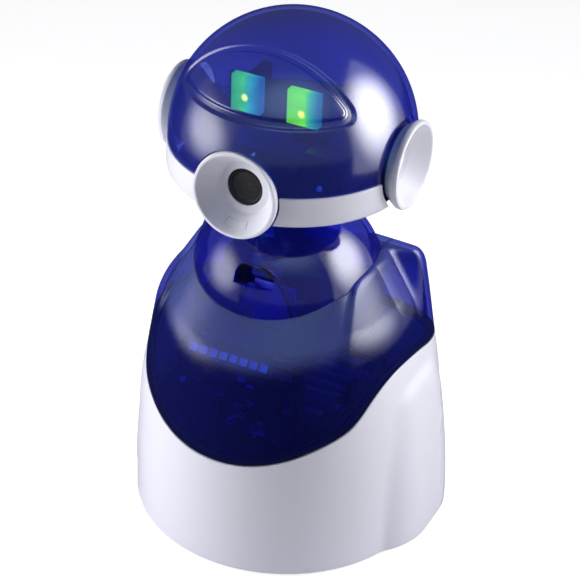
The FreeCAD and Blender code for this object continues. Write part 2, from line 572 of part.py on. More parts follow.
for fb, y in (("front", -S["front_y"]), ("rear", S["rear_y"])):
    for lr, side in (("left", 1), ("right", -1)):
        key = "%s_%s" % (fb, lr)
        x0 = 1.2 if side > 0 else -25.2
        can = common(key + "_can", rod(key + "_round", 6.0, 15.0, 1.2 * side, y, S["wheel_r"], (0, 1, 0), 90 * side),
                     box(key + "_flats", 40.0, S["motor_w"], S["motor_tall"], 13.0 * side, y, S["wheel_r"] - S["motor_tall"] / 2))
        gear = box(key + "_gears", 9.0, S["motor_w"], S["motor_tall"], 20.6 * side, y, S["wheel_r"] - S["motor_tall"] / 2)
        stub = rod(key + "_stub", S["shaft_r"], 12.0, 24.0 * side, y, S["wheel_r"], (0, 1, 0), 90 * side)
        saddle = box(key + "_saddle", 14.0, S["motor_w"], S["wheel_r"] - S["motor_tall"] / 2 - S["tray_z"] - S["tray_t"], 17.0 * side, y, S["tray_z"] + S["tray_t"])
        node(fuse(key + "_motor_all", can, gear, stub, saddle), "motor_" + key)

case = cut("battery_box", box("battery_block", 62.0, 62.0, 15.0, 0, 8.0, S["deck_z"] + S["deck_t"]),
           box("battery_room", 58.0, 58.0, 15.0, 0, 8.0, S["deck_z"] + S["deck_t"] + 1.6))
node(fuse("deck_all", deck, case, *ribs), "chassis_deck")
cells = [rod("cell_%d" % k, S["cell_r"], S["cell_long"], -S["cell_long"] / 2, 8.0 + (k - 1.5) * 14.3, S["deck_z"] + S["deck_t"] + 1.7 + S["cell_r"], (0, 1, 0), 90) for k in range(4)]
tips = [rod("cell_tip_%d" % k, 2.6, 1.6, (25.0 if k % 2 else -26.6), 8.0 + (k - 1.5) * 14.3, S["deck_z"] + S["deck_t"] + 1.7 + S["cell_r"], (0, 1, 0), 90) for k in range(4)]
cell_set = doc.addObject("Part::Compound", "cell_set")
cell_set.Links = [fuse("cell_whole_%d" % k, cells[k], tips[k]) for k in range(4)]
node(cell_set, "battery_cells")

# ---------------------------------------------------------------- chest
chest = box("chest_plate", 56.0, S["board_t"], 31.5, 0, -43.0, 58.0)
parts = [
    (-16.0, 64.0, 14.0, 2.2, 14.0), (6.0, 62.5, 9.0, 1.6, 9.0), (20.0, 63.0, 10.0, 3.4, 8.0),
    (-18.0, 81.0, 8.0, 4.4, 7.0), (-5.0, 79.0, 6.0, 2.4, 9.0), (5.0, 77.0, 7.0, 1.8, 5.0), (15.5, 75.5, 8.0, 3.0, 12.0),
]
for k, (x, z, w, d, hgt) in enumerate(parts):
    chest = fuse("chest_with_%d" % k, chest, box("chest_part_%d" % k, w, d, hgt, x, -43.8 - d / 2, z))
node(chest, "chest_board")
bar = box("led_bar", 42.0, 6.4, 1.0, -21.0, -3.2, 0, middle=False)
lights = [box("led_%d" % k, 3.4, 3.4, 1.4, -17.8 + 4.6 * k, -1.7, 0.9, middle=False) for k in range(8)]
bar = fuse("led_row", bar, *lights)
put(bar, -4.2, -42.6, 92.7, (1, 0, 0), 50)
node(bar, "chest_leds")
# ---------------------------------------------------------------- power rocker
rock = common("rocker_round", rod("rocker_arc", 9.6, 10.6, -5.3, 53.35, 54.7, (0, 1, 0), 90), box("rocker_block", 10.6, 8.0, 16.0, 0, 61.0, 46.7))
node(fuse("rocker_all", rock, rod("rocker_pin", 1.2, 11.36, -5.68, 59.0, 54.7, (0, 1, 0), 90)), "power_rocker")

# ---------------------------------------------------------------- wheels
def hub(key, x, y, slant):
    core = rod(key + "_core", S["hub_r"], S["side_in"] * 2 + 0.4, -(S["side_in"] + 0.2), 0, 0, (0, 1, 0), 90)
    sides = []
    for k, at in enumerate((S["side_in"], -(S["side_in"] + S["side_t"]))):
        disc = rod("%s_disc_%d" % (key, k), S["side_r"], S["side_t"], at, 0, 0, (0, 1, 0), 90)
        holes = []
        for i in range(6):
            a = math.radians(60 * i + 30)
            holes.append(rod("%s_hole_%d_%d" % (key, k, i), 2.1, 8.0, at - 3.0, 11.6 * math.cos(a), 11.6 * math.sin(a), (0, 1, 0), 90))
        sides.append(cut("%s_side_%d" % (key, k), disc, fuse("%s_holes_%d" % (key, k), *holes)))
    pins = []
    for i in range(6):
        m = roller_place(0, 0, slant, i, 0)
        pin = rod("%s_pin_%d" % (key, i), S["pin_r"], S["pin_long"])
        half = num(S["pin_long"]) / 2
        m = m.multiply(Placement(Vector(0, 0, -half), Rotation()))
        pin.Placement = m
        pins.append(pin)
    whole = fuse(key + "_sum", core, *sides, *pins)
    bored = cut(key + "_bored", whole, rod(key + "_bore", S["hub_bore"], 60.0, -30.0, 0, 0, (0, 1, 0), 90))
    put(bored, x, y, S["wheel_r"])
    return bored


def roller_place(x, y, slant, i, z):
    """Roller i's own frame: Z along the roller, at its place on the wheel, the first one straight down."""
    a = math.radians(60 * i - 90)
    radial = Vector(0, math.cos(a), math.sin(a))
    tangent = Vector(0, -math.sin(a), math.cos(a))
    along = (Vector(1, 0, 0) * math.cos(math.radians(45)) + tangent * (slant * math.sin(math.radians(45))))
    rot = Rotation(radial.cross(along), radial, along, "ZYX")
    return Placement(Vector(x, y, z) + radial * num(S["roller_orbit"]), rot)


half = S["roller_long"] / 2
wheels = {
    "front_left": (S["wheel_x"], -S["front_y"], 1), "front_right": (-S["wheel_x"], -S["front_y"], -1),
    "rear_left": (S["wheel_x"], S["rear_y"], -1), "rear_right": (-S["wheel_x"], S["rear_y"], 1),
}
for key, (x, y, slant) in wheels.items():
    node(hub("hub_" + key, x, y, slant), "wheel_" + key)
    for i in range(6):
        name = "roller_%s_%d" % (key, i + 1)
        r = turned(name + "_body", [
            (S["roller_bore"], -half), (S["roller_end_r"], -half), (S["roller_end_r"], half), (S["roller_bore"], half),
        ], {1: S["roller_arc"]})
        r.Placement = roller_place(num(x), num(y), slant, i, num(S["wheel_r"]))
        node(r, name)

# ---------------------------------------------------------------- wires in the neck
def wire(name, pts, r):
    curve = Part.BSplineCurve()
    curve.interpolate([Vector(*p) for p in pts])
    path = doc.addObject("Part::Feature", name + "_path")
    path.Shape = curve.toShape()
    ring = doc.addObject("Part::Circle", name + "_ring")
    ring.Radius = r
    d = curve.tangent(curve.FirstParameter)[0]
    ring.Placement = Placement(Vector(*pts[0]), Rotation(Vector(0, 0, 1), d))
    sweep = doc.addObject("Part::Sweep", name)
    sweep.Sections = [ring]
    sweep.Spine = (path, [])
    sweep.Solid = True
    sweep.Frenet = False
    return sweep


node(wire("black_lead", [(-12.0, -10.0, 100.0), (-12.0, -20.0, 116.0), (-6.0, -27.0, 128.5), (1.5, -29.6, 130.6), (9.0, -30.2, 127.6), (15.0, -30.0, 118.0), (16.0, -27.0, 107.0), (12.0, -14.0, 100.0)], 0.8), "wire_black")
node(wire("red_lead", [(-6.0, -8.0, 100.0), (-5.0, -18.0, 118.0), (-1.0, -25.5, 130.2), (3.6, -28.6, 132.6), (8.6, -28.8, 130.2), (12.6, -26.0, 121.0), (12.0, -18.0, 108.0), (7.0, -9.0, 100.0)], 0.8), "wire_red")

# ---------------------------------------------------------------- screws
screws = doc.addObject("Part::Compound", "screw_set")
heads = []
for k, (x, y) in enumerate(((-22.0, -31.0), (22.0, -31.0), (-22.0, 43.0), (22.0, 43.0))):
    h = rod("screw_head_%d" % k, 2.6, 1.3, x, y, S["tray_z"] + 0.1)
    s = rod("screw_body_%d" % k, 1.4, 4.0, x, y, S["tray_z"] + 1.3)
    heads.append(fuse("screw_%d" % k, h, s))
screws.Links = heads
tray_node = NODES[[n.Label for n in NODES].index("motor_tray")]
bored = cut("tray_bored", tray_node, fuse("tray_bores", *[rod("tray_bore_%d_%d" % (k, m), r, 6.0, x, y, S["tray_z"] + up) for k, (x, y) in enumerate(((-22.0, -31.0), (22.0, -31.0), (-22.0, 43.0), (22.0, 43.0))) for m, (r, up) in enumerate(((1.45, -1.0), (2.7, -4.55)))]))
tray_node.Label = "tray_blank"
NODES[NODES.index(tray_node)] = bored
bored.Label = "motor_tray"
node(screws, "screws")

# ---------------------------------------------------------------- check and write
doc.recompute()
bad = []
for o in doc.Objects:
    if any(s in ("Invalid", "Error") for s in o.State):
        bad.append("%s: %s" % (o.Label, o.State))
for o in NODES:
    if o.Shape.isNull() or not o.Shape.isValid():
        bad.append("%s: shape" % o.Label)
    elif not o.Shape.Solids:
        bad.append("%s: no solid" % o.Label)
if bad:
    raise RuntimeError("; ".join(bad))
names = [o.Label for o in NODES]
if len(set(names)) != len(names) or len(names) > 60:
    raise RuntimeError("labels: %d" % len(names))
os.makedirs("parts", exist_ok=True)
for o in NODES:
    o.Shape.exportStep("parts/%s.step" % o.Label)
lo = [min(o.Shape.BoundBox.XMin for o in NODES), min(o.Shape.BoundBox.YMin for o in NODES), min(o.Shape.BoundBox.ZMin for o in NODES)]
hi = [max(o.Shape.BoundBox.XMax for o in NODES), max(o.Shape.BoundBox.YMax for o in NODES), max(o.Shape.BoundBox.ZMax for o in NODES)]
print(len(NODES), "nodes, box", [round(a, 2) for a in lo], [round(a, 2) for a in hi])
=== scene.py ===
import bpy
import bmesh
import math
import numpy as np
from mathutils import Matrix, Vector


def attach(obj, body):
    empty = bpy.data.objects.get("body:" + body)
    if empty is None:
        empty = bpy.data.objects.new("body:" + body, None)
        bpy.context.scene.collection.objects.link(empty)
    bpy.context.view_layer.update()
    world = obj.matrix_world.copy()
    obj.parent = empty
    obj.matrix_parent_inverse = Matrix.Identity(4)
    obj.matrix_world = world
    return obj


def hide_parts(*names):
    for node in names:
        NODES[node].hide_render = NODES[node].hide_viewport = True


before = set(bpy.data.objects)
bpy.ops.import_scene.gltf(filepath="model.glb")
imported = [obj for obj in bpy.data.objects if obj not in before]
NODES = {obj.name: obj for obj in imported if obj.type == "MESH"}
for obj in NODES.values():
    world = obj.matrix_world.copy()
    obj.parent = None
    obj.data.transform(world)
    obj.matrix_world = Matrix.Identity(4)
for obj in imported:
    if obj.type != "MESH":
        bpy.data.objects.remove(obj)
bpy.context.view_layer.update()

scene = bpy.context.scene
MM = 0.001


# ------------------------------------------------------------------ camera
def set_camera():
    D, el, az, roll = 807.25, math.radians(28.38), math.radians(26.04), math.radians(-2.03)
    f, px, py = 2021.9, 293.17, 130.82
    back = np.array([math.sin(az) * math.cos(el), -math.cos(az) * math.cos(el), math.sin(el)])
    right = np.cross(-back, [0, 0, 1.0])
    right /= np.linalg.norm(right)
    up = np.cross(right, -back)
    d = np.array([(px - 290) / f, (290 - py) / f, -1.0])
    d /= np.linalg.norm(d)
    a0 = np.array([0, 0, -1.0])
    v, c = np.cross(a0, d), float(a0 @ d)
    K = np.array([[0, -v[2], v[1]], [v[2], 0, -v[0]], [-v[1], v[0], 0]])
    Rm = np.eye(3) + K + K @ K / (1 + c)
    Rr = np.array([[math.cos(roll), -math.sin(roll), 0], [math.sin(roll), math.cos(roll), 0], [0, 0, 1]])
    Rw = Rm @ Rr @ np.stack([right, up, back])
    cam = bpy.data.cameras.new("camera")
    cam.sensor_width = 36.0
    cam.lens = f * 36.0 / 580.0
    cam.clip_start, cam.clip_end = 0.01, 50
    o = bpy.data.objects.new("camera", cam)
    scene.collection.objects.link(o)
    loc = back * D + np.array([0, 0, 178.5])
    m = Matrix([[*Rw.T[0], loc[0] * MM], [*Rw.T[1], loc[1] * MM], [*Rw.T[2], loc[2] * MM], [0, 0, 0, 1]])
    o.matrix_world = m
    scene.camera = o
    return az


AZ = set_camera()
scene.view_settings.view_transform = "Standard"
scene.view_settings.look = "None"


# ------------------------------------------------------------------ node helpers
def mat_new(name):
    m = bpy.data.materials.new(name)
    m.use_nodes = True
    nt = m.node_tree
    nt.nodes.clear()
    out = nt.nodes.new("ShaderNodeOutputMaterial")
    return m, nt, out


def N(nt, kind, **kw):
    n = nt.nodes.new(kind)
    for k, v in kw.items():
        if k in n.inputs:
            n.inputs[k].default_value = v
        else:
            setattr(n, k, v)
    return n


def bump(nt, scale, strength, dist, detail=3.0, coord=None):
    tc = N(nt, "ShaderNodeTexCoord")
    no = N(nt, "ShaderNodeTexNoise", Scale=scale, Detail=detail)
    nt.links.new((coord or tc.outputs["Object"]), no.inputs["Vector"])
    b = N(nt, "ShaderNodeBump", Strength=strength, Distance=dist)
    nt.links.new(no.outputs["Fac"], b.inputs["Height"])
    return b, no


def plastic(name, color, color2, rough, rough2, peel=0.05, grain=900.0, coat=0.0, spec=0.5, sub=0.0, mottle=18.0, shade_inside=None):
    m, nt, out = mat_new(name)
    p = N(nt, "ShaderNodeBsdfPrincipled")
    p.inputs["Coat Weight"].default_value = coat
    p.inputs["Coat Roughness"].default_value = 0.06
    p.inputs["Specular IOR Level"].default_value = spec
    if sub:
        p.inputs["Subsurface Weight"].default_value = sub
        p.inputs["Subsurface Radius"].default_value = (0.004, 0.004, 0.005)
        p.inputs["Subsurface Scale"].default_value = 0.4
    b, _ = bump(nt, grain, peel, 0.0002)
    nt.links.new(b.outputs["Normal"], p.inputs["Normal"])
    tc = N(nt, "ShaderNodeTexCoord")
    no = N(nt, "ShaderNodeTexNoise", Scale=mottle, Detail=4.0)
    nt.links.new(tc.outputs["Object"], no.inputs["Vector"])
    r = N(nt, "ShaderNodeValToRGB")
    r.color_ramp.elements[0].position, r.color_ramp.elements[1].position = 0.35, 0.65
    r.color_ramp.elements[0].color, r.color_ramp.elements[1].color = (*color, 1), (*color2, 1)
    nt.links.new(no.outputs["Fac"], r.inputs["Fac"])
    col = r.outputs["Color"]
    # painted shade: where a surface lies inside the given radius, its colour turns to the dark shade colour
    if shade_inside:
        centre, radius, shade = shade_inside
        d = N(nt, "ShaderNodeVectorMath", operation="DISTANCE")
        nt.links.new(N(nt, "ShaderNodeNewGeometry").outputs["Position"], d.inputs[0])
        d.inputs[1].default_value = centre
        near = N(nt, "ShaderNodeMapRange")
        near.inputs["From Min"].default_value, near.inputs["From Max"].default_value = radius - 0.0006, radius
        nt.links.new(d.outputs["Value"], near.inputs["Value"])
        mix = N(nt, "ShaderNodeMixRGB")
        mix.inputs["Color1"].default_value = (*shade, 1)
        nt.links.new(near.outputs["Result"], mix.inputs["Fac"])
        nt.links.new(col, mix.inputs["Color2"])
        col = mix.outputs["Color"]
    nt.links.new(col, p.inputs["Base Color"])
    mr = N(nt, "ShaderNodeMapRange")
    mr.inputs["From Min"].default_value, mr.inputs["From Max"].default_value = 0.3, 0.7
    mr.inputs["To Min"].default_value, mr.inputs["To Max"].default_value = rough, rough2
    nt.links.new(no.outputs["Fac"], mr.inputs["Value"])
    nt.links.new(mr.outputs["Result"], p.inputs["Roughness"])
    nt.links.new(p.outputs["BSDF"], out.inputs["Surface"])
    return m


def tinted(name, clear, edge, body, haze=0.1, rough=0.05, base=0.055, graze=0.30, wave=0.02, sky=0.0, painted_top_light=None):
    """Dyed clear plastic: light passes with a tint that deepens towards the edge, over a little haze, under a gloss."""
    m, nt, out = mat_new(name)
    lw = N(nt, "ShaderNodeLayerWeight", Blend=0.35)
    ramp = N(nt, "ShaderNodeValToRGB")
    ramp.color_ramp.elements[0].position, ramp.color_ramp.elements[1].position = 0.25, 0.9
    ramp.color_ramp.elements[0].color, ramp.color_ramp.elements[1].color = (*clear, 1), (*edge, 1)
    nt.links.new(lw.outputs["Facing"], ramp.inputs["Fac"])
    tr = N(nt, "ShaderNodeBsdfTransparent")
    nt.links.new(ramp.outputs["Color"], tr.inputs["Color"])
    tc = N(nt, "ShaderNodeTexCoord")
    cloud = N(nt, "ShaderNodeTexNoise", Scale=14.0, Detail=3.0)
    nt.links.new(tc.outputs["Object"], cloud.inputs["Vector"])
    tone = N(nt, "ShaderNodeValToRGB")
    tone.color_ramp.elements[0].position, tone.color_ramp.elements[1].position = 0.3, 0.7
    tone.color_ramp.elements[0].color = (*[c * 0.93 for c in body], 1)
    tone.color_ramp.elements[1].color = (*body, 1)
    nt.links.new(cloud.outputs["Fac"], tone.inputs["Fac"])
    df = N(nt, "ShaderNodeBsdfDiffuse")
    tl = N(nt, "ShaderNodeBsdfTranslucent")
    nt.links.new(tone.outputs["Color"], df.inputs["Color"])
    nt.links.new(tone.outputs["Color"], tl.inputs["Color"])
    half = N(nt, "ShaderNodeMixShader", Fac=0.5)
    nt.links.new(df.outputs[0], half.inputs[1])
    nt.links.new(tl.outputs[0], half.inputs[2])
    mix = N(nt, "ShaderNodeMixShader", Fac=haze)
    nt.links.new(tr.outputs[0], mix.inputs[1])
    nt.links.new(half.outputs[0], mix.inputs[2])
    if painted_top_light:
        # painted light from above: faces that look up get a paler diffuse blue mixed in, mostly near the middle (small
        # |x|)
        g0 = N(nt, "ShaderNodeNewGeometry")
        u0 = N(nt, "ShaderNodeSeparateXYZ")
        nt.links.new(g0.outputs["Normal"], u0.inputs[0])
        m0 = N(nt, "ShaderNodeMapRange", interpolation_type="SMOOTHSTEP")
        m0.inputs["From Min"].default_value, m0.inputs["From Max"].default_value = 0.34, 0.60
        m0.inputs["To Max"].default_value = painted_top_light[1]
        nt.links.new(u0.outputs["Z"], m0.inputs["Value"])
        p0 = N(nt, "ShaderNodeSeparateXYZ")
        nt.links.new(g0.outputs["Position"], p0.inputs[0])
        a0 = N(nt, "ShaderNodeMath", operation="ABSOLUTE")
        nt.links.new(p0.outputs["X"], a0.inputs[0])
        m1 = N(nt, "ShaderNodeMapRange", interpolation_type="SMOOTHSTEP")
        m1.inputs["From Min"].default_value, m1.inputs["From Max"].default_value = 0.046, 0.035
        m1.inputs["To Min"].default_value = 0.25
        nt.links.new(a0.outputs[0], m1.inputs["Value"])
        k0 = N(nt, "ShaderNodeMath", operation="MULTIPLY")
        nt.links.new(m0.outputs["Result"], k0.inputs[0])
        nt.links.new(m1.outputs["Result"], k0.inputs[1])
        d0 = N(nt, "ShaderNodeBsdfDiffuse", Color=(*painted_top_light[0], 1))
        x0 = N(nt, "ShaderNodeMixShader")
        nt.links.new(k0.outputs[0], x0.inputs[0])
        nt.links.new(mix.outputs[0], x0.inputs[1])
        nt.links.new(d0.outputs[0], x0.inputs[2])
        mix = x0
    gl = N(nt, "ShaderNodeBsdfGlossy", Color=(1, 1, 1, 1), Roughness=rough)
    b, _ = bump(nt, 60.0, wave, 0.0006, 2.0)
    nt.links.new(b.outputs["Normal"], gl.inputs["Normal"])
    # reflection: rises from the front towards the rim, and only where light meets the outside of a wall
    lw2 = N(nt, "ShaderNodeLayerWeight", Blend=0.5)
    pw = N(nt, "ShaderNodeMath", operation="POWER")
    nt.links.new(lw2.outputs["Facing"], pw.inputs[0])
    pw.inputs[1].default_value = 3.0
    mr = N(nt, "ShaderNodeMapRange")
    mr.inputs["To Min"].default_value, mr.inputs["To Max"].default_value = base, graze
    nt.links.new(pw.outputs[0], mr.inputs["Value"])
    geo = N(nt, "ShaderNodeNewGeometry")
    inv = N(nt, "ShaderNodeMath", operation="SUBTRACT")
    inv.inputs[0].default_value = 1.0
    nt.links.new(geo.outputs["Backfacing"], inv.inputs[1])
    up = N(nt, "ShaderNodeSeparateXYZ")
    nt.links.new(geo.outputs["Normal"], up.inputs[0])
    lift = N(nt, "ShaderNodeMapRange", interpolation_type="SMOOTHSTEP")
    lift.inputs["From Min"].default_value, lift.inputs["From Max"].default_value = 0.30, 0.62
    lift.inputs["To Max"].default_value = sky
    nt.links.new(up.outputs["Z"], lift.inputs["Value"])
    sm = N(nt, "ShaderNodeMath", operation="ADD")
    nt.links.new(mr.outputs["Result"], sm.inputs[0])
    nt.links.new(lift.outputs["Result"], sm.inputs[1])
    ml = N(nt, "ShaderNodeMath", operation="MULTIPLY")
    nt.links.new(sm.outputs[0], ml.inputs[0])
    nt.links.new(inv.outputs[0], ml.inputs[1])
    top = N(nt, "ShaderNodeMixShader")
    nt.links.new(ml.outputs[0], top.inputs[0])
    nt.links.new(mix.outputs[0], top.inputs[1])
    nt.links.new(gl.outputs[0], top.inputs[2])
    nt.links.new(top.outputs[0], out.inputs["Surface"])
    return m


def glow(name, stops, axis="X", strength=1.0, spot=None):
    """A lit panel: the colour runs across it, with a brighter patch."""
    m, nt, out = mat_new(name)
    tc = N(nt, "ShaderNodeTexCoord")
    sp = N(nt, "ShaderNodeSeparateXYZ")
    nt.links.new(tc.outputs["Generated"], sp.inputs[0])
    r = N(nt, "ShaderNodeValToRGB")
    el = r.color_ramp.elements
    while len(el) < len(stops):
        el.new(0.5)
    for k, (at, col) in enumerate(stops):
        el[k].position, el[k].color = at, (*col, 1)
    nt.links.new(sp.outputs[axis], r.inputs["Fac"])
    e = N(nt, "ShaderNodeEmission")
    nt.links.new(r.outputs["Color"], e.inputs["Color"])
    no = N(nt, "ShaderNodeTexNoise", Scale=3.0, Detail=1.0)
    nt.links.new(tc.outputs["Generated"], no.inputs["Vector"])
    mr = N(nt, "ShaderNodeMapRange")
    mr.inputs["From Min"].default_value, mr.inputs["From Max"].default_value = 0.3, 0.7
    mr.inputs["To Min"].default_value, mr.inputs["To Max"].default_value = strength * 0.85, strength * 1.1
    nt.links.new(no.outputs["Fac"], mr.inputs["Value"])
    nt.links.new(mr.outputs["Result"], e.inputs["Strength"])
    last = e
    if spot:
        (sx, sz, rad), col, power = spot
        d = N(nt, "ShaderNodeVectorMath", operation="DISTANCE")
        cx = N(nt, "ShaderNodeCombineXYZ")
        nt.links.new(sp.outputs["X"], cx.inputs["X"])
        nt.links.new(sp.outputs["Z"], cx.inputs["Z"])
        nt.links.new(cx.outputs[0], d.inputs[0])
        d.inputs[1].default_value = (sx, 0, sz)
        mr2 = N(nt, "ShaderNodeMapRange", interpolation_type="SMOOTHSTEP")
        mr2.inputs["From Min"].default_value, mr2.inputs["From Max"].default_value = rad, rad * 0.25
        mr2.inputs["To Min"].default_value, mr2.inputs["To Max"].default_value = 0.0, power
        nt.links.new(d.outputs["Value"], mr2.inputs["Value"])
        e2 = N(nt, "ShaderNodeEmission", Color=(*col, 1))
        nt.links.new(mr2.outputs["Result"], e2.inputs["Strength"])
        add = N(nt, "ShaderNodeAddShader")
        nt.links.new(e.outputs[0], add.inputs[0])
        nt.links.new(e2.outputs[0], add.inputs[1])
        last = add
    nt.links.new(last.outputs[0], out.inputs["Surface"])
    return m


def lamp(name, color, strength):
    m, nt, out = mat_new(name)
    e = N(nt, "ShaderNodeEmission", Color=(*color, 1), Strength=strength)
    nt.links.new(e.outputs[0], out.inputs["Surface"])
    return m


WHITE = plastic("white_plastic", (0.790, 0.785, 0.850), (0.80, 0.795, 0.858), 0.26, 0.32, peel=0.02, grain=500, coat=0.15, mottle=6.0)
FUNNEL = plastic("white_funnel", (0.80, 0.795, 0.85), (0.81, 0.805, 0.858), 0.30, 0.36, peel=0.02, grain=700, coat=0.1, mottle=6.0)
# white funnel backs with painted shade: dark blue where they sit inside the dome
FUNNEL_BACK_SHADED = plastic("funnel_back_painted_shade", (0.79, 0.785, 0.845), (0.80, 0.795, 0.855), 0.45, 0.55, peel=0.03, grain=700, mottle=6.0, shade_inside=((0, 0, 0.1785), 0.0496, (0.045, 0.055, 0.26)))
BLUE = tinted("blue_clear", (0.34, 0.38, 0.80), (0.10, 0.12, 0.44), (0.06, 0.085, 0.84), haze=0.22, rough=0.15, base=0.085, graze=0.24)
BLUE_NECK = tinted("blue_neck", (0.40, 0.43, 0.86), (0.12, 0.12, 0.52), (0.035, 0.045, 0.80), haze=0.20, rough=0.09)
# the torso's up-facing slopes get painted light from above: a paler diffuse blue mixed in
BLUE_TORSO = tinted("blue_torso", (0.34, 0.37, 0.80), (0.10, 0.11, 0.44), (0.04, 0.055, 0.50), haze=0.15, rough=0.17, base=0.011, graze=0.15, sky=0.020, painted_top_light=((0.25, 0.33, 0.70), 0.165))
NAVY = plastic("navy_edge", (0.006, 0.006, 0.07), (0.01, 0.01, 0.10), 0.25, 0.35, peel=0.02)
FRAME = plastic("dark_frame", (0.018, 0.018, 0.03), (0.03, 0.03, 0.05), 0.4, 0.55, peel=0.15, grain=1500)
SERVO = plastic("servo_case", (0.008, 0.008, 0.02), (0.015, 0.015, 0.03), 0.3, 0.4, peel=0.12, grain=1800)
RUBBER = plastic("roller_rubber", (0.02, 0.02, 0.022), (0.035, 0.035, 0.037), 0.65, 0.8, peel=0.3, grain=2500)
HUB = plastic("hub_plastic", (0.06, 0.06, 0.065), (0.08, 0.08, 0.085), 0.4, 0.5, peel=0.1, grain=1500)
SENSOR = plastic("sensor_black", (0.008, 0.008, 0.009), (0.014, 0.014, 0.015), 0.5, 0.6, peel=0.35, grain=2400)
WIRE_K = plastic("wire_black_pvc", (0.01, 0.01, 0.012), (0.016, 0.016, 0.02), 0.35, 0.45, peel=0.08)
WIRE_R = plastic("wire_red_pvc", (0.62, 0.012, 0.015), (0.72, 0.02, 0.02), 0.35, 0.45, peel=0.08)
# near-black for the torso's seam edges: painted shade in the joint with the base, partly the blue shell's own dark edge
SEAM_SHADE = plastic("seam_edge_shade", (0.002, 0.002, 0.03), (0.004, 0.004, 0.045), 0.3, 0.4, peel=0.02, spec=0.2)
BOARD = plastic("board_lacquer", (0.004, 0.004, 0.03), (0.008, 0.008, 0.05), 0.35, 0.5, peel=0.1, grain=1200)
STEEL = plastic("steel", (0.55, 0.55, 0.57), (0.62, 0.62, 0.64), 0.25, 0.35, peel=0.1, grain=2000)
for n in STEEL.node_tree.nodes:
    if n.type == "BSDF_PRINCIPLED":
        n.inputs["Metallic"].default_value = 1.0


EYE_R = glow("eye_light_right", ((0.05, (0.12, 1.40, 0.12)), (0.40, (0.24, 2.10, 0.14)), (0.58, (0.12, 1.60, 0.34)), (0.76, (0.06, 0.95, 0.38)), (1.0, (0.02, 0.35, 0.26))), "X", 2.9, ((0.47, 0.42, 0.14), (1.0, 0.85, 0.03), 14.0))
EYE_L = glow("eye_light_left", ((0.05, (0.50, 2.30, 0.00)), (0.56, (0.60, 2.80, 0.00)), (0.70, (0.10, 1.60, 0.14)), (0.84, (0.03, 0.95, 0.26)), (1.0, (0.01, 0.42, 0.20))), "X", 3.1, ((0.47, 0.36, 0.14), (1.0, 0.85, 0.02), 16.0))
LED = glow("led_light", ((0.2, (0.06, 0.16, 0.62)), (0.8, (0.12, 0.30, 0.95))), "X", 1.15)
CHIP = plastic("board_part", (0.03, 0.03, 0.20), (0.06, 0.05, 0.28), 0.3, 0.45, peel=0.1, grain=1500)
RINGS = plastic("board_ring", (0.16, 0.12, 0.55), (0.22, 0.16, 0.65), 0.3, 0.4, peel=0.05)
BLUE_SOLID = plastic("blue_inner", (0.10, 0.12, 0.72), (0.12, 0.14, 0.80), 0.3, 0.42, peel=0.05, mottle=9.0)
HEAD_BLUE = plastic("head_inner_blue", (0.02, 0.025, 0.20), (0.026, 0.032, 0.25), 0.35, 0.5, peel=0.08, mottle=9.0)
BLUE_LIGHT = plastic("blue_bracket", (0.05, 0.12, 0.42), (0.06, 0.14, 0.48), 0.3, 0.42, peel=0.05, mottle=9.0)


def mesh_cloth(name):
    """Black can front with a fine woven grille."""
    m, nt, out = mat_new(name)
    p = N(nt, "ShaderNodeBsdfPrincipled", Roughness=0.5)
    tc = N(nt, "ShaderNodeTexCoord")
    w1 = N(nt, "ShaderNodeTexVoronoi", Scale=1500.0)
    nt.links.new(tc.outputs["Object"], w1.inputs["Vector"])
    r = N(nt, "ShaderNodeValToRGB")
    r.color_ramp.elements[0].position, r.color_ramp.elements[1].position = 0.25, 0.6
    r.color_ramp.elements[0].color, r.color_ramp.elements[1].color = (0.004, 0.004, 0.005, 1), (0.026, 0.026, 0.028, 1)
    nt.links.new(w1.outputs["Distance"], r.inputs["Fac"])
    nt.links.new(r.outputs["Color"], p.inputs["Base Color"])
    b = N(nt, "ShaderNodeBump", Strength=0.5, Distance=0.0003)
    nt.links.new(w1.outputs["Distance"], b.inputs["Height"])
    nt.links.new(b.outputs["Normal"], p.inputs["Normal"])
    nt.links.new(p.outputs[0], out.inputs["Surface"])
    return m


GRILLE = mesh_cloth("sensor_grille")

# ------------------------------------------------------------------ mesh helpers
def obj_from(name, verts, faces, mat, body, smooth=True, sharp=None):
    me = bpy.data.meshes.new(name)
    me.from_pydata([tuple(v) for v in np.asarray(verts) * MM], [], [tuple(int(i) for i in f) for f in faces])
    me.update()
    o = bpy.data.objects.new(name, me)
    scene.collection.objects.link(o)
    me.materials.append(mat)
    if smooth:
        me.polygons.foreach_set("use_smooth", [True] * len(me.polygons))
        if sharp:
            me.set_sharp_from_angle(angle=math.radians(sharp))
    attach(o, body)
    return o


def grid_faces(rows, cols, wrap_u=True, wrap_v=False):
    f = []
    R = rows if wrap_v else rows - 1
    C = cols if wrap_u else cols - 1
    for i in range(R):
        a, b = i * cols, ((i + 1) % rows) * cols
        for j in range(C):
            k = (j + 1) % cols
            f.append((a + j, a + k, b + k, b + j))
    return f


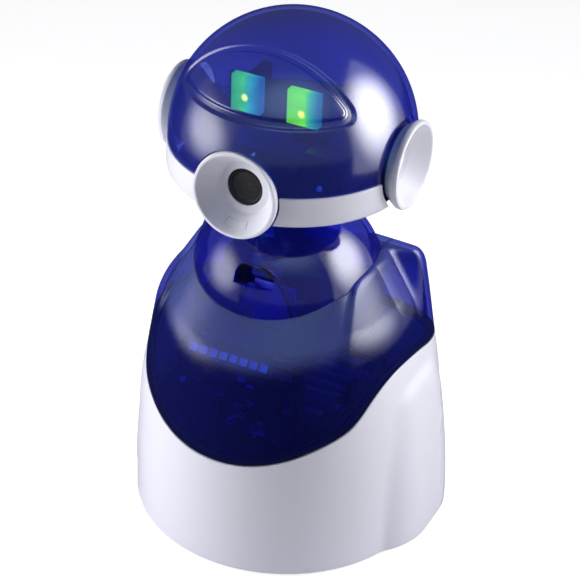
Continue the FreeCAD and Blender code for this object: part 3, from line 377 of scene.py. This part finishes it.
def rounded(profile, steps=5):
    """Corners (a, b, radius) to a closed chain of points with rounded corners."""
    n, pts = len(profile), []
    for i in range(n):
        p0, p1, p2 = (np.array(profile[(i + d) % n][:2], float) for d in (-1, 0, 1))
        r = profile[i][2] if len(profile[i]) > 2 else 0.0
        if r <= 0:
            pts.append(p1)
            continue
        u, v = p0 - p1, p2 - p1
        lu, lv = np.linalg.norm(u), np.linalg.norm(v)
        u, v = u / lu, v / lv
        ang = math.acos(max(-1, min(1, float(u @ v))))
        cutl = min(r / math.tan(ang / 2), 0.48 * lu, 0.48 * lv)
        rr = cutl * math.tan(ang / 2)
        bis = (u + v) / np.linalg.norm(u + v)
        c = p1 + bis * rr / math.sin(ang / 2)
        a, b = p1 + u * cutl - c, p1 + v * cutl - c
        a0, a1 = math.atan2(a[1], a[0]), math.atan2(b[1], b[0])
        d = (a1 - a0 + math.pi) % (2 * math.pi) - math.pi
        for s in range(steps + 1):
            t = a0 + d * s / steps
            pts.append(c + rr * np.array([math.cos(t), math.sin(t)]))
    return pts


def lathe(name, profile, mat, body, place=None, seg=144, steps=5, sharp=40, dense=0.0):
    """Turns a closed (radius, height) profile about Z, then puts it in place with a 4x4 in millimetres."""
    p = rounded(profile, steps)
    if dense:
        q = []
        for i, a in enumerate(p):
            b = p[(i + 1) % len(p)]
            k = max(1, int(np.linalg.norm(b - a) / dense))
            q += [a + (b - a) * s / k for s in range(k)]
        p = q
    th = np.linspace(0, 2 * math.pi, seg, endpoint=False)
    verts = np.array([[max(r, 0.0) * math.cos(t), max(r, 0.0) * math.sin(t), h] for r, h in p for t in th])
    faces = grid_faces(len(p), seg, True, True)
    if place is not None:
        verts = verts @ np.array(place)[:3, :3].T + np.array(place)[:3, 3]
    o = obj_from(name, verts, faces, mat, body, True, None)
    bm = bmesh.new()
    bm.from_mesh(o.data)
    bmesh.ops.remove_doubles(bm, verts=bm.verts, dist=1e-7)
    bmesh.ops.dissolve_degenerate(bm, edges=bm.edges, dist=1e-8)
    bmesh.ops.recalc_face_normals(bm, faces=bm.faces)
    bm.to_mesh(o.data)
    bm.free()
    o.data.set_sharp_from_angle(angle=math.radians(sharp))
    return o


def mesh_fix(o, sharp=35):
    bm = bmesh.new()
    bm.from_mesh(o.data)
    bmesh.ops.recalc_face_normals(bm, faces=bm.faces)
    bm.to_mesh(o.data)
    bm.free()
    o.data.polygons.foreach_set("use_smooth", [True] * len(o.data.polygons))
    o.data.set_sharp_from_angle(angle=math.radians(sharp))


def tool(name, verts, faces):
    me = bpy.data.meshes.new(name)
    me.from_pydata([tuple(v) for v in np.asarray(verts) * MM], [], [tuple(int(i) for i in f) for f in faces])
    bm = bmesh.new()
    bm.from_mesh(me)
    bmesh.ops.recalc_face_normals(bm, faces=bm.faces)
    bm.to_mesh(me)
    bm.free()
    o = bpy.data.objects.new(name, me)
    scene.collection.objects.link(o)
    return o


def tube_tool(name, r, h0, h1, place, seg=144):
    th = np.linspace(0, 2 * math.pi, seg, endpoint=False)
    v = [[r * math.cos(t), r * math.sin(t), h] for h in (h0, h1) for t in th]
    f = [(j, (j + 1) % seg, seg + (j + 1) % seg, seg + j) for j in range(seg)]
    f += [tuple(range(seg))[::-1], tuple(range(seg, 2 * seg))]
    v = np.array(v) @ np.array(place)[:3, :3].T + np.array(place)[:3, 3]
    return tool(name, v, f)


def box_tool(name, lo, hi, place=None):
    v = np.array([[x, y, z] for x in (lo[0], hi[0]) for y in (lo[1], hi[1]) for z in (lo[2], hi[2])], float)
    f = [(0, 1, 3, 2), (4, 6, 7, 5), (0, 4, 5, 1), (2, 3, 7, 6), (0, 2, 6, 4), (1, 5, 7, 3)]
    if place is not None:
        v = v @ np.array(place)[:3, :3].T + np.array(place)[:3, 3]
    return tool(name, v, f)


def carve(o, tools, op="DIFFERENCE"):
    for t in tools:
        md = o.modifiers.new("cut", "BOOLEAN")
        md.operation, md.solver, md.object = op, "EXACT", t
    dg = bpy.context.evaluated_depsgraph_get()
    me = bpy.data.meshes.new_from_object(o.evaluated_get(dg))
    old = o.data
    o.modifiers.clear()
    o.data = me
    bpy.data.meshes.remove(old)
    for t in tools:
        bpy.data.objects.remove(t)
    mesh_fix(o)
    return o


def place(x, y, z, rx=0.0, ry=0.0, rz=0.0):
    m = Matrix.Translation((x, y, z)) @ Matrix.Rotation(math.radians(rz), 4, "Z") @ Matrix.Rotation(math.radians(ry), 4, "Y") @ Matrix.Rotation(math.radians(rx), 4, "X")
    return np.array(m)


def soft_box(name, lo, hi, mat, body, bev=0.3, seg=3, place_m=None):
    """A moulded block with rounded edges."""
    lo, hi = np.array(lo, float), np.array(hi, float)
    bm = bmesh.new()
    bmesh.ops.create_cube(bm, size=1.0)
    for v in bm.verts:
        v.co = Vector([(lo[i] + hi[i]) / 2 + v.co[i] * (hi[i] - lo[i]) for i in range(3)])
    bmesh.ops.bevel(bm, geom=list(bm.edges), offset=min(bev, 0.45 * float((hi - lo).min())), segments=seg, profile=0.5, affect="EDGES")
    if place_m is not None:
        bmesh.ops.transform(bm, matrix=Matrix(place_m.tolist()), verts=bm.verts)
    bmesh.ops.scale(bm, vec=(MM, MM, MM), verts=bm.verts)
    me = bpy.data.meshes.new(name)
    bm.to_mesh(me)
    bm.free()
    me.polygons.foreach_set("use_smooth", [True] * len(me.polygons))
    me.set_sharp_from_angle(angle=math.radians(50))
    o = bpy.data.objects.new(name, me)
    scene.collection.objects.link(o)
    me.materials.append(mat)
    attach(o, body)
    return o


# ------------------------------------------------------------------ the shell's form
LEVEL = np.array([0, 22, 42, 62, 84, 100, 119.5, 136, 150.0])
WIDE = np.array([64.4, 63.7, 62.6, 61.1, 57.2, 54.5, 51.0, 48.0, 45.4])
REAR = np.array([63.0, 62.8, 62.4, 62.0, 61.6, 61.0, 60.0, 59.0, 58.0])
FRONT = np.array([1.4, 0.8, 0.3, 0, 0, 0, 0, 0, 0.0])


def pchip(x, xs, ys):
    d = np.diff(ys) / np.diff(xs)
    m = np.concatenate([[d[0]], (d[1:] + d[:-1]) / 2, [d[-1]]])
    i = np.clip(np.searchsorted(xs, x) - 1, 0, len(xs) - 2)
    dx = xs[i + 1] - xs[i]
    t = np.clip((x - xs[i]) / dx, 0, 1)
    return ((1 + 2 * t) * (1 - t) ** 2 * ys[i] + t * (1 - t) ** 2 * dx * m[i] + t * t * (3 - 2 * t) * ys[i + 1] + t * t * (t - 1) * dx * m[i + 1])


def smin(a, b, k):
    w = np.maximum(k - np.abs(a - b), 0) / k
    return np.minimum(a, b) - w * w * k / 4


def smax(a, b, k):
    return -smin(-a, -b, k)


def d_wall(x, y, z):
    W, Y, F = pchip(z, LEVEL, WIDE), pchip(z, LEVEL, REAR), pchip(z, LEVEL, FRONT)
    R = 46.0
    qx, qy = np.abs(x) - (W - R), y - (Y - R)
    back = np.hypot(np.maximum(qx, 0), np.maximum(qy, 0)) + np.minimum(np.maximum(qx, qy), 0) - R
    return np.where(y < F, np.hypot(x, y - F) - W, back)


def d_fender(x, y, z, less=0.0):
    s = np.abs(x)
    cx = 38.4 - 4.4 * (np.maximum(z - 5.0, 0) / 45.0) ** 1.6
    slab = np.hypot(np.maximum(s - cx, 0), np.maximum(np.abs(y - 8.1) - 6.7, 0)) - (31.6 - less)
    half, top = 32.5 - less, 76.0 - less
    F = (np.abs(y - 6.75) / half) ** 4.0 + (np.maximum(z, 0) / top) ** 2.3
    arch = (F ** (1 / 3.1) - 1) * half
    return smax(slab, arch, 3.0)


def d_base(x, y, z, less=0.0):
    return smin(d_wall(x, y, z) + less, d_fender(x, y, z, less), 1.3)


def d_cap(x, y, z):
    rho = np.hypot(x, y - 20.0)
    chest = smax((z - (95.5 + 1.19 * (74.6 - rho))) / 1.554, z - (127.0 - 2.0 * (rho / 44.0) ** 2), 4.0)
    t = np.clip(y - 14.0, 0, 30)
    shoulder = (np.hypot(x, y) - 39.4 - 0.613 * (126.3 - z)) / 1.173 - 1.9 * t * t / (t + 8.0)
    shoulder = shoulder + 2.0 * np.clip((14.0 - y) / 12.0, 0, 1) * np.clip((z - 98.0) / 12.0, 0, 1)
    chest = smax(chest, shoulder, 2.5)
    return smax(chest, (z - (126.5 - 1.1 * (y - 26.0))) / 1.487, 8.0) - 1.0


def d_torso(x, y, z, less=0.0):
    body = smax(d_wall(x, y, z) + less, d_cap(x, y, z) + less, 3.6)
    # the cheek: a fold that runs up the side of the chest and over the shoulder
    s = 0.981 * np.abs(x) + 0.035 * y + 0.192 * z - 59.35
    near = np.clip((z - 72.0) / 16.0, 0, 1) * np.clip((30.0 - y) / 10.0, 0, 1)
    return body - np.where(s > 0, 0.5, 1.15) * near * np.tanh(s / 1.1) * np.exp(-np.abs(s) / 8.0)


PART_Y = np.array([-80, -66, -61, -54, -46, -40, -36.5, -33, -29, -24.7, -20, -14, -6.6, 2.4, 14, 27, 46, 62, 80.0])
PART_Z = np.array([45, 51.5, 55, 60, 65, 68, 70, 72.6, 76.6, 80.4, 83.6, 86.2, 87.4, 86.6, 84.8, 82, 76, 70.5, 67.0])


def parting(y):
    # smoothed a little so that the seam runs fair
    return sum(pchip(y + s, PART_Y, PART_Z) for s in (-3, -1.5, 0, 1.5, 3)) / 5


def solve(fn, n, lo, hi, steps=34):
    a, b = np.full(n, float(lo)), np.full(n, float(hi))
    for _ in range(steps):
        c = (a + b) / 2
        v = fn(c)
        a, b = np.where(v < 0, c, a), np.where(v < 0, b, c)
    return (a + b) / 2


def base_mesh():
    th = np.linspace(0, 2 * math.pi, 900, endpoint=False)
    cx, cy = np.cos(th), np.sin(th)

    def ring(z, less):
        r = solve(lambda r: d_base(r * cx, r * cy, z, less), len(th), 20, 100)
        return np.stack([r * cx, r * cy, z + 0 * r], 1)

    def seam(less, drop):
        z = np.full(len(th), 70.0)
        for _ in range(14):
            z = 0.5 * z + 0.5 * (parting(ring(z, less)[:, 1]) - drop)
        return z

    rows = []
    zt = seam(0.0, 0.25)
    lo = 1.6
    for less, z0, z1, k in ((0.0, lo + 0.8, None, 90),):
        for i in range(k):
            t = i / (k - 1)
            rows.append(ring((lo + 0.8) + (zt - 0.5 - lo - 0.8) * t, 0.0))
    rows.append(ring(zt - 0.15, 0.15))
    rows.append(ring(zt, 0.5))
    rows.append(ring(zt, 1.9))
    rows.append(ring(zt - 0.5, 2.4))
    for i in range(40):
        t = i / 39
        rows.append(ring((zt - 1.5) * (1 - t) + (lo + 0.8) * t, 2.4))
    rows.append(ring(np.full(len(th), lo), 1.9))
    rows.append(ring(np.full(len(th), lo), 0.7))
    rows.append(ring(np.full(len(th), lo + 0.2), 0.2))
    v = np.concatenate(rows)
    o = obj_from("base_skin", v, grid_faces(len(rows), len(th), True, True), WHITE, "base", True, None)
    mesh_fix(o, 60)
    return o


def torso_mesh():
    th = np.linspace(0, 2 * math.pi, 900, endpoint=False)
    C = np.array([0.0, 8.0, 90.0])
    cx, cy = np.cos(th), np.sin(th)

    def at(phi, less):
        ux, uy, uz = np.cos(phi) * cx, np.cos(phi) * cy, np.sin(phi)
        r = solve(lambda r: d_torso(C[0] + r * ux, C[1] + r * uy, C[2] + r * uz, less), len(th), 4, 110)
        return np.stack([C[0] + r * ux, C[1] + r * uy, C[2] + r * uz], 1)

    def low(less, lift):
        return solve(lambda p: (lambda q: q[:, 2] - parting(q[:, 1]) - lift)(at(p, less)), len(th), -1.2, 1.0, 26)

    def high(less):
        return solve(lambda p: (lambda q: 40.8 - np.linalg.norm(q - np.array([0, 0, 110.0]), axis=1))(at(p, less)), len(th), 0.0, 1.5, 26)

    rows = []
    a, b = low(0.0, 0.15), high(0.0)
    a2, b2 = low(2.2, 0.15), high(2.2)
    K = 170
    rows.append(at(a + 0.0015, 0.35))
    for i in range(K):
        t = i / (K - 1)
        rows.append(at(a + 0.004 + (b - a - 0.008) * t, 0.0))
    rows.append(at(b, 0.35))
    rows.append(at(b2, 1.9))
    for i in range(90):
        t = i / 89
        rows.append(at(b2 - 0.006 + (a2 - b2 + 0.012) * t, 2.2))
    rows.append(at(a2, 1.9))
    v = np.concatenate(rows)
    o = obj_from("torso_skin", v, grid_faces(len(rows), len(th), True, True), BLUE_TORSO, "base", True, None)
    # the rows at both edges of the torso skin, along the seam, get the painted seam shade
    o.data.materials.append(SEAM_SHADE)
    n = len(th)
    for i, f in enumerate(o.data.polygons):
        if i // n < 4 or i // n >= len(rows) - 4:
            f.material_index = 1
    mesh_fix(o, 60)
    # the tongue that seats the torso inside the base
    rows = []
    a3 = low(2.5, 1.1)
    a4 = low(2.5, -3.0)
    for s, less in ((0, 2.6), (1, 2.6), (1, 3.6), (0, 3.6)):
        rows.append(at(a3 if s == 0 else a4, less))
    # the tongue gets the painted seam shade too
    o2 = obj_from("torso_tongue", np.concatenate(rows), grid_faces(4, len(th), True, True), SEAM_SHADE, "base", True, None)
    mesh_fix(o2, 40)
    return o


def ball_shell(name, C, R, t, z_low, mouth_r, mat, body, seg=512, rows=150, displace=None, foot=None):
    """A hollow ball cut off at z_low; mouth_r leaves a round hole at the top, or closes it if 0."""
    th = np.linspace(0, 2 * math.pi, seg, endpoint=False)
    out = []
    C = np.array(C, float)
    for k, (r, flip) in enumerate(((R, False), (R - t, True))):
        p0 = math.asin((max(z_low, C[2] - R) - C[2]) / R) if z_low < C[2] - 1e-6 or foot is None else 0.0
        p1 = math.acos(max(mouth_r, 0.02) / r)
        ph = np.linspace(p0, p1, rows)
        chunk = []
        if foot is not None:
            for z in np.linspace(foot, C[2], 5)[:-1]:
                chunk.append(np.stack([r * np.cos(th), r * np.sin(th), z + 0 * th], 1) + [C[0], C[1], 0])
        for p in ph:
            q = np.stack([np.cos(p) * np.cos(th), np.cos(p) * np.sin(th), math.sin(p) + 0 * th], 1)
            rr = r + (displace(q * r + C) if displace is not None else 0.0)
            chunk.append(q * (rr[:, None] if isinstance(rr, np.ndarray) else rr) + C)
        out += chunk[::-1] if flip else chunk
    v = np.concatenate(out)
    o = obj_from(name, v, grid_faces(len(out), seg, True, True), mat, body, True, None)
    mesh_fix(o, 50)
    return o


# ------------------------------------------------------------------ base and torso
base = base_mesh()
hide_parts("base_shell")
slot_cut = box_tool("switch_slot", (-5.9, 50, 46.0), (5.9, 70, 63.4))
carve(base, [slot_cut])
torso = torso_mesh()
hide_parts("torso_shell")

# ------------------------------------------------------------------ neck bulb
bulb = ball_shell("neck_bulb", (0, 0, 110.0), 40.5, 2.0, 96.0, 13.0, BLUE_NECK, "base")


def arch_tool(name, x0, x1, z0, z1, y0, y1, r, seg=14):
    pts = [(x0, z0), (x1, z0)]
    for a in np.linspace(0, math.pi / 2, seg):
        pts.append((x1 - r + r * math.cos(a), z1 - r + r * math.sin(a)))
    for a in np.linspace(math.pi / 2, math.pi, seg):
        pts.append((x0 + r + r * math.cos(a), z1 - r + r * math.sin(a)))
    n = len(pts)
    v = [(x, y, z) for y in (y0, y1) for x, z in pts]
    f = [(j, (j + 1) % n, n + (j + 1) % n, n + j) for j in range(n)] + [tuple(range(n))[::-1], tuple(range(n, 2 * n))]
    return tool(name, v, f)


carve(bulb, [arch_tool("bulb_window", -6.5, 10.5, 125.6, 133.2, -48, -24, 3.7)])
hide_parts("neck_dome")

# ------------------------------------------------------------------ head
NOSE = place(0, -50.0, 173.6, rx=90 - 4.5)
EAR_L = place(53.0, 0.8, 177.2, ry=90)
EAR_R = place(-53.0, 0.8, 177.2, ry=-90)


def visor(p):
    a, b, r = -p[:, 1] - 20.5, p[:, 2] - 202.0, 6.0
    qa, qb = np.maximum(r - a, 0), np.maximum(r - b, 0)
    s = np.where((qa > 0) | (qb > 0), r - np.hypot(qa, qb), np.minimum(a, b))

    def step(e0, e1):
        t = np.clip((s - e0) / (e1 - e0), 0, 1)
        return t * t * (3 - 2 * t)

    return -0.85 * step(-0.1, 1.1) * (1 - step(2.6, 3.8))


dome = ball_shell("head_dome_skin", (0, 0, 178.5), 50.0, 2.0, 178.5, 0.0, BLUE, "head", seg=720, rows=220, displace=visor, foot=176.45)
carve(dome, [tube_tool("cut_nose", 18.5, -22, 12, NOSE), tube_tool("cut_ear_l", 18.5, -20, 12, EAR_L), tube_tool("cut_ear_r", 18.5, -20, 12, EAR_R)])
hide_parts("head_dome")

band = lathe("head_band_skin", [
    (48.0, 164.2, 0.5), (47.2, 162.9, 0.4), (48.7, 162.9, 0.9), (50.1, 164.5, 1.4), (50.6, 167.5, 3.0), (50.6, 176.2, 0.45), (48.0, 176.2, 0.4),
], WHITE, "head", seg=512, sharp=50, dense=1.2)
carve(band, [tube_tool("cut_nose", 18.4, -22, 12, NOSE), tube_tool("cut_ear_l", 18.4, -20, 12, EAR_L), tube_tool("cut_ear_r", 18.4, -20, 12, EAR_R)])
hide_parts("head_band")
floor_plate = lathe("head_floor_plate", [(29.0, 163.37, 0.1), (46.4, 163.37, 0.1), (46.4, 163.93, 0.1), (29.0, 163.93, 0.1)], HEAD_BLUE, "head", seg=256)
carve(floor_plate, [tube_tool("cut_nose", 18.4, -22, 12, NOSE)])

for key, M in (("nose", NOSE), ("ear_left", EAR_L), ("ear_right", EAR_R)):
    f = lathe(key + "_cup", [
        (16.5, 0.0, 0.35), (17.7, 0.0, 0.5), (18.0, -1.0, 0.4), (18.0, -2.2, 0.5), (12.5, -10.2, 1.2), (11.2, -10.8, 0.4),
        (11.2, -15.3, 0.3), (8.05, -15.3, 0.1), (8.05, -10.1, 0.1), (7.7, -10.1, 0.05), (7.7, -9.3, 0.25), (10.6, -9.3, 0.5), (11.3, -7.6, 0.8),
    ], FUNNEL, "head", M, seg=192, sharp=55, dense=1.5)
    # the latch outline low on the flare: four thin strips that follow the cone
    a0 = math.radians({"nose": -90, "ear_left": 180, "ear_right": 0}[key])
    tools = []
    for h0, h1, t0, t1 in ((-5.75, -5.5, -0.34, 0.34), (-2.65, -2.4, -0.34, 0.34), (-5.75, -2.4, -0.34, -0.32), (-5.75, -2.4, 0.32, 0.34)):
        pts, faces, K = [], [], 10
        for i in range(K + 1):
            t = a0 + t0 + (t1 - t0) * i / K
            for h, d in ((h0, -0.4), (h1, -0.4), (h1, 0.6), (h0, 0.6)):
                r = 11.3 + 5.2 * (h + 7.6) / 7.6 + d
                pts.append((r * math.cos(t), r * math.sin(t), h))
        for i in range(K):
            for j in range(4):
                faces.append((4 * i + j, 4 * i + (j + 1) % 4, 4 * i + 4 + (j + 1) % 4, 4 * i + 4 + j))
        faces += [(0, 1, 2, 3), (4 * K + 3, 4 * K + 2, 4 * K + 1, 4 * K)]
        tools.append(tool("latch_cut", np.array(pts) @ M[:3, :3].T + M[:3, 3], faces))
    carve(f, tools)
    f.data.materials.append(FUNNEL_BACK_SHADED)
    axis = Vector((M[0][2], M[1][2], M[2][2]))
    foot = Vector((M[0][3], M[1][3], M[2][3])) * 0.001
    for q in f.data.polygons:
        arm = q.center - foot
        arm -= axis * arm.dot(axis)
        if arm.length > 1e-6 and q.normal.dot(arm.normalized()) - 0.9 * q.normal.dot(axis) > 0.25:
            q.material_index = 1
    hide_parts(key + "_funnel")
    can = lathe(key + "_can", [
        (0.0, -10.7), (5.9, -10.9, 0.6), (6.7, -10.6, 0.2), (6.9, -10.15, 0.15), (7.95, -10.12, 0.3), (7.95, -20.1, 0.3), (0.0, -20.1),
    ], SENSOR, "head", M, seg=96)
    lathe(key + "_grille", [(0.0, -10.62), (5.75, -10.82, 0.1), (5.75, -10.9, 0.05), (0.0, -10.75)], GRILLE, "head", M, seg=72)
    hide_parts(key + "_sensor")

# ------------------------------------------------------------------ what shows through the blue
soft_box("neck_inner_plate", (-1.0, -28.6, 103.0), (17.5, -27.6, 124.6), BLUE_SOLID, "base", 0.45, 3)
boss = soft_box("neck_inner_boss", (-3.2, -31.2, 112.6), (0.8, -28.4, 122.8), BLUE_LIGHT, "base", 1.3, 5)
soft_box("neck_slot_bracket", (-3.5, -26.2, 124.0), (9.5, -24.6, 134.0), BLUE_LIGHT, "base", 0.6, 3)
for key, lo, hi, m in (("right", (-19.2, -17.3, 191.2), (-6.2, -13.3, 206.6), EYE_R), ("left", (5.2, -17.3, 191.6), (18.8, -13.3, 206.2), EYE_L)):
    e = soft_box("eye_%s_block" % key, lo, hi, m, "head", 0.5, 3)
    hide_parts("eye_" + key)
bar = soft_box("led_bar_skin", (-21.0, -3.1, 0.0), (21.0, 3.1, 1.0), BOARD, "base", 0.2, 2, place(-4.2, -42.6, 92.7, rx=50))
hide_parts("chest_leds")
for k in range(8):
    soft_box("led_%d" % (k + 1), (-17.8 + 4.6 * k, -1.6, 0.9), (-14.6 + 4.6 * k, 1.6, 2.1), LED, "base", 0.25, 2, place(-4.2, -42.6, 92.7, rx=50))
rng = np.random.default_rng(7)
for k in range(26):
    x, z = rng.uniform(-25, 25), rng.uniform(60, 86)
    w, h, d = rng.uniform(1.2, 4.2), rng.uniform(1.0, 3.2), rng.uniform(0.5, 1.4)
    soft_box("chest_chip_%02d" % (k + 1), (x - w / 2, -44.0 - d, z - h / 2), (x + w / 2, -43.7, z + h / 2), CHIP if k % 3 else RINGS, "base", 0.15, 2)
for k, (x, z, r) in enumerate(((-11.0, 72.0, 1.9), (3.0, 68.5, 1.3), (8.0, 64.0, 1.2), (11.5, 66.5, 1.2), (9.0, 60.5, 1.2), (13.0, 62.5, 1.2), (-2.0, 63.5, 1.6), (-17.0, 79.5, 1.2))):
    lathe("chest_ring_%d" % (k + 1), [(r, 0.0, 0.1), (r, 2.0, 0.3), (r * 0.62, 2.0, 0.2), (r * 0.62, 0.0, 0.05)], RINGS, "base", place(x, -43.8, z, rx=90), seg=40)
soft_box("face_bracket", (-17.0, -15.4, 175.0), (15.5, -14.2, 186.0), BLUE_LIGHT, "head", 0.5, 3)
soft_box("face_block", (17.5, -26.0, 170.5), (33.0, -14.5, 186.0), SERVO, "head", 0.6, 3)
lathe("face_lamp", [(0.0, 0.0), (1.1, 0.0, 0.2), (1.1, 1.2, 0.4), (0.0, 1.5)], LED, "head", place(25.0, -26.0, 172.4, rx=90), seg=32)
for k in range(10):
    x, z = rng.uniform(-19, 19), rng.uniform(184, 189)
    soft_box("face_chip_%02d" % (k + 1), (x, -14.2, z), (x + rng.uniform(1.5, 4), -13.1, z + rng.uniform(1.0, 2.5)), CHIP, "head", 0.12, 2)

# ------------------------------------------------------------------ studio
def panel(name, center, normal, w, h, strength, color=(1, 1, 1), inner=0.12, shed=0.5):
    n = Vector(normal).normalized()
    x = Vector((0, 0, 1)).cross(n).normalized()
    y = n.cross(x)
    c = Vector(center)
    vs = [c + x * sx * w / 2 + y * sy * h / 2 for sx, sy in ((-1, -1), (1, -1), (1, 1), (-1, 1))]
    me = bpy.data.meshes.new(name)
    me.from_pydata([tuple(v) for v in vs], [], [(0, 1, 2, 3)])
    uv = me.uv_layers.new(name="UVMap")
    for i, (u, v) in enumerate(((0, 0), (1, 0), (1, 1), (0, 1))):
        uv.data[i].uv = (u, v)
    o = bpy.data.objects.new(name, me)
    scene.collection.objects.link(o)
    m, nt, out = mat_new(name + "_light")
    tc = N(nt, "ShaderNodeTexCoord")
    mp = N(nt, "ShaderNodeMapping")
    mp.inputs["Location"].default_value = (-1, -1, 0)
    mp.inputs["Scale"].default_value = (2, 2, 1)
    nt.links.new(tc.outputs["UV"], mp.inputs["Vector"])
    gr = N(nt, "ShaderNodeTexGradient", gradient_type="SPHERICAL")
    nt.links.new(mp.outputs["Vector"], gr.inputs["Vector"])
    mr = N(nt, "ShaderNodeMapRange", interpolation_type="SMOOTHSTEP")
    mr.inputs["From Max"].default_value = 0.80
    mr.inputs["To Min"].default_value = strength * inner
    mr.inputs["To Max"].default_value = strength
    nt.links.new(gr.outputs["Fac"], mr.inputs["Value"])
    # the diffusers look brighter in a reflection than the light they shed
    lp = N(nt, "ShaderNodeLightPath")
    k = N(nt, "ShaderNodeMapRange")
    k.inputs["To Min"].default_value, k.inputs["To Max"].default_value = shed, 1.0
    nt.links.new(lp.outputs["Is Glossy Ray"], k.inputs["Value"])
    mu = N(nt, "ShaderNodeMath", operation="MULTIPLY")
    nt.links.new(mr.outputs["Result"], mu.inputs[0])
    nt.links.new(k.outputs["Result"], mu.inputs[1])
    e = N(nt, "ShaderNodeEmission", Color=(*color, 1))
    nt.links.new(mu.outputs[0], e.inputs["Strength"])
    nt.links.new(e.outputs[0], out.inputs["Surface"])
    me.materials.append(m)
    o.visible_camera = False
    return o


back = Vector((math.sin(AZ), -math.cos(AZ), 0))
right = Vector((math.cos(AZ), math.sin(AZ), 0))
mid = Vector((0, 0, 0.20))
for s, name, fwd, w, z0, h, power in ((-1, "panel_left", 0.07, 0.58, 0.20, 0.44, 5.0), (1, "panel_right", 0.05, 0.66, 0.38, 0.80, 14.0)):
    c = right * (0.5 * s) + back * fwd + Vector((0, 0, z0))
    panel(name, c, -right * s, w, h, power, (0.97, 0.97, 1.0), inner=0.10, shed=0.47 if s > 0 else 2.2)

up52 = (back * math.cos(math.radians(54)) + Vector((0, 0, 1)) * math.sin(math.radians(54)))
panel("panel_front", mid + up52 * 0.9, -up52, 1.6, 0.90, 2.1, (0.42, 0.60, 1.0), inner=0.30, shed=0.10)

world = bpy.data.worlds.new("world")
scene.world = world
world.use_nodes = True
wt = world.node_tree
wt.nodes.clear()
wo = wt.nodes.new("ShaderNodeOutputWorld")
lp = wt.nodes.new("ShaderNodeLightPath")
b1 = wt.nodes.new("ShaderNodeBackground")
b1.inputs["Color"].default_value = (0.62, 0.62, 0.72, 1)
b1.inputs["Strength"].default_value = 0.05
b2 = wt.nodes.new("ShaderNodeBackground")
b2.inputs["Color"].default_value = (1, 1, 1, 1)
b2.inputs["Strength"].default_value = 1.0
b3 = wt.nodes.new("ShaderNodeBackground")
b3.inputs["Color"].default_value = (0.45, 0.5, 0.8, 1)
b3.inputs["Strength"].default_value = 0.48
m0 = wt.nodes.new("ShaderNodeMixShader")
wt.links.new(lp.outputs["Is Glossy Ray"], m0.inputs[0])
wt.links.new(b1.outputs[0], m0.inputs[1])
wt.links.new(b3.outputs[0], m0.inputs[2])
mx = wt.nodes.new("ShaderNodeMixShader")
wt.links.new(lp.outputs["Is Camera Ray"], mx.inputs[0])
wt.links.new(m0.outputs[0], mx.inputs[1])
wt.links.new(b2.outputs[0], mx.inputs[2])
wt.links.new(mx.outputs[0], wo.inputs["Surface"])

me = bpy.data.meshes.new("floor")
me.from_pydata([(-3, -3, -0.0002), (3, -3, -0.0002), (3, 3, -0.0002), (-3, 3, -0.0002)], [], [(0, 1, 2, 3)])
floor = bpy.data.objects.new("floor", me)
scene.collection.objects.link(floor)
fm, nt, out = mat_new("floor_paper")
p = N(nt, "ShaderNodeBsdfPrincipled", Roughness=0.9)
p.inputs["Base Color"].default_value = (0.80, 0.80, 0.84, 1)
p.inputs["Emission Color"].default_value = (1, 1, 1, 1)
p.inputs["Emission Strength"].default_value = 0.12
lit = N(nt, "ShaderNodeBsdfPrincipled", Roughness=0.9)
lit.inputs["Base Color"].default_value = (0.5, 0.5, 0.5, 1)
lit.inputs["Emission Color"].default_value = (1, 1, 1, 1)
lit.inputs["Emission Strength"].default_value = 0.82
lpf = N(nt, "ShaderNodeLightPath")
dim = N(nt, "ShaderNodeEmission", Color=(0.35, 0.38, 0.62, 1), Strength=0.10)
shiny = N(nt, "ShaderNodeMixShader")
nt.links.new(lpf.outputs["Is Glossy Ray"], shiny.inputs[0])
nt.links.new(p.outputs[0], shiny.inputs[1])
nt.links.new(dim.outputs[0], shiny.inputs[2])
two = N(nt, "ShaderNodeMixShader")
nt.links.new(lpf.outputs["Is Camera Ray"], two.inputs[0])
nt.links.new(shiny.outputs[0], two.inputs[1])
nt.links.new(lit.outputs[0], two.inputs[2])
nt.links.new(two.outputs[0], out.inputs["Surface"])
me.materials.append(fm)

# ------------------------------------------------------------------ frame parts keep their shape and get real finishes
FINISH = {
    "chassis_deck": FRAME, "motor_tray": FRAME, "neck_frame": FRAME, "pan_post": FRAME, "head_frame": HEAD_BLUE,
    "pan_servo": SERVO, "tilt_servo": SERVO, "battery_cells": STEEL, "screws": STEEL, "wire_black": WIRE_K, "wire_red": WIRE_R,
    "chest_board": BOARD,  "face_board": BOARD,  "power_rocker": SENSOR,
}
for name, o in NODES.items():
    m = FINISH.get(name)
    if m is None and name.startswith("motor_"):
        m = STEEL
    if m is None and name.startswith("wheel_"):
        m = HUB
    if m is None and name.startswith("roller_"):
        m = RUBBER
    if m is not None:
        for s in o.material_slots:
            s.material = m
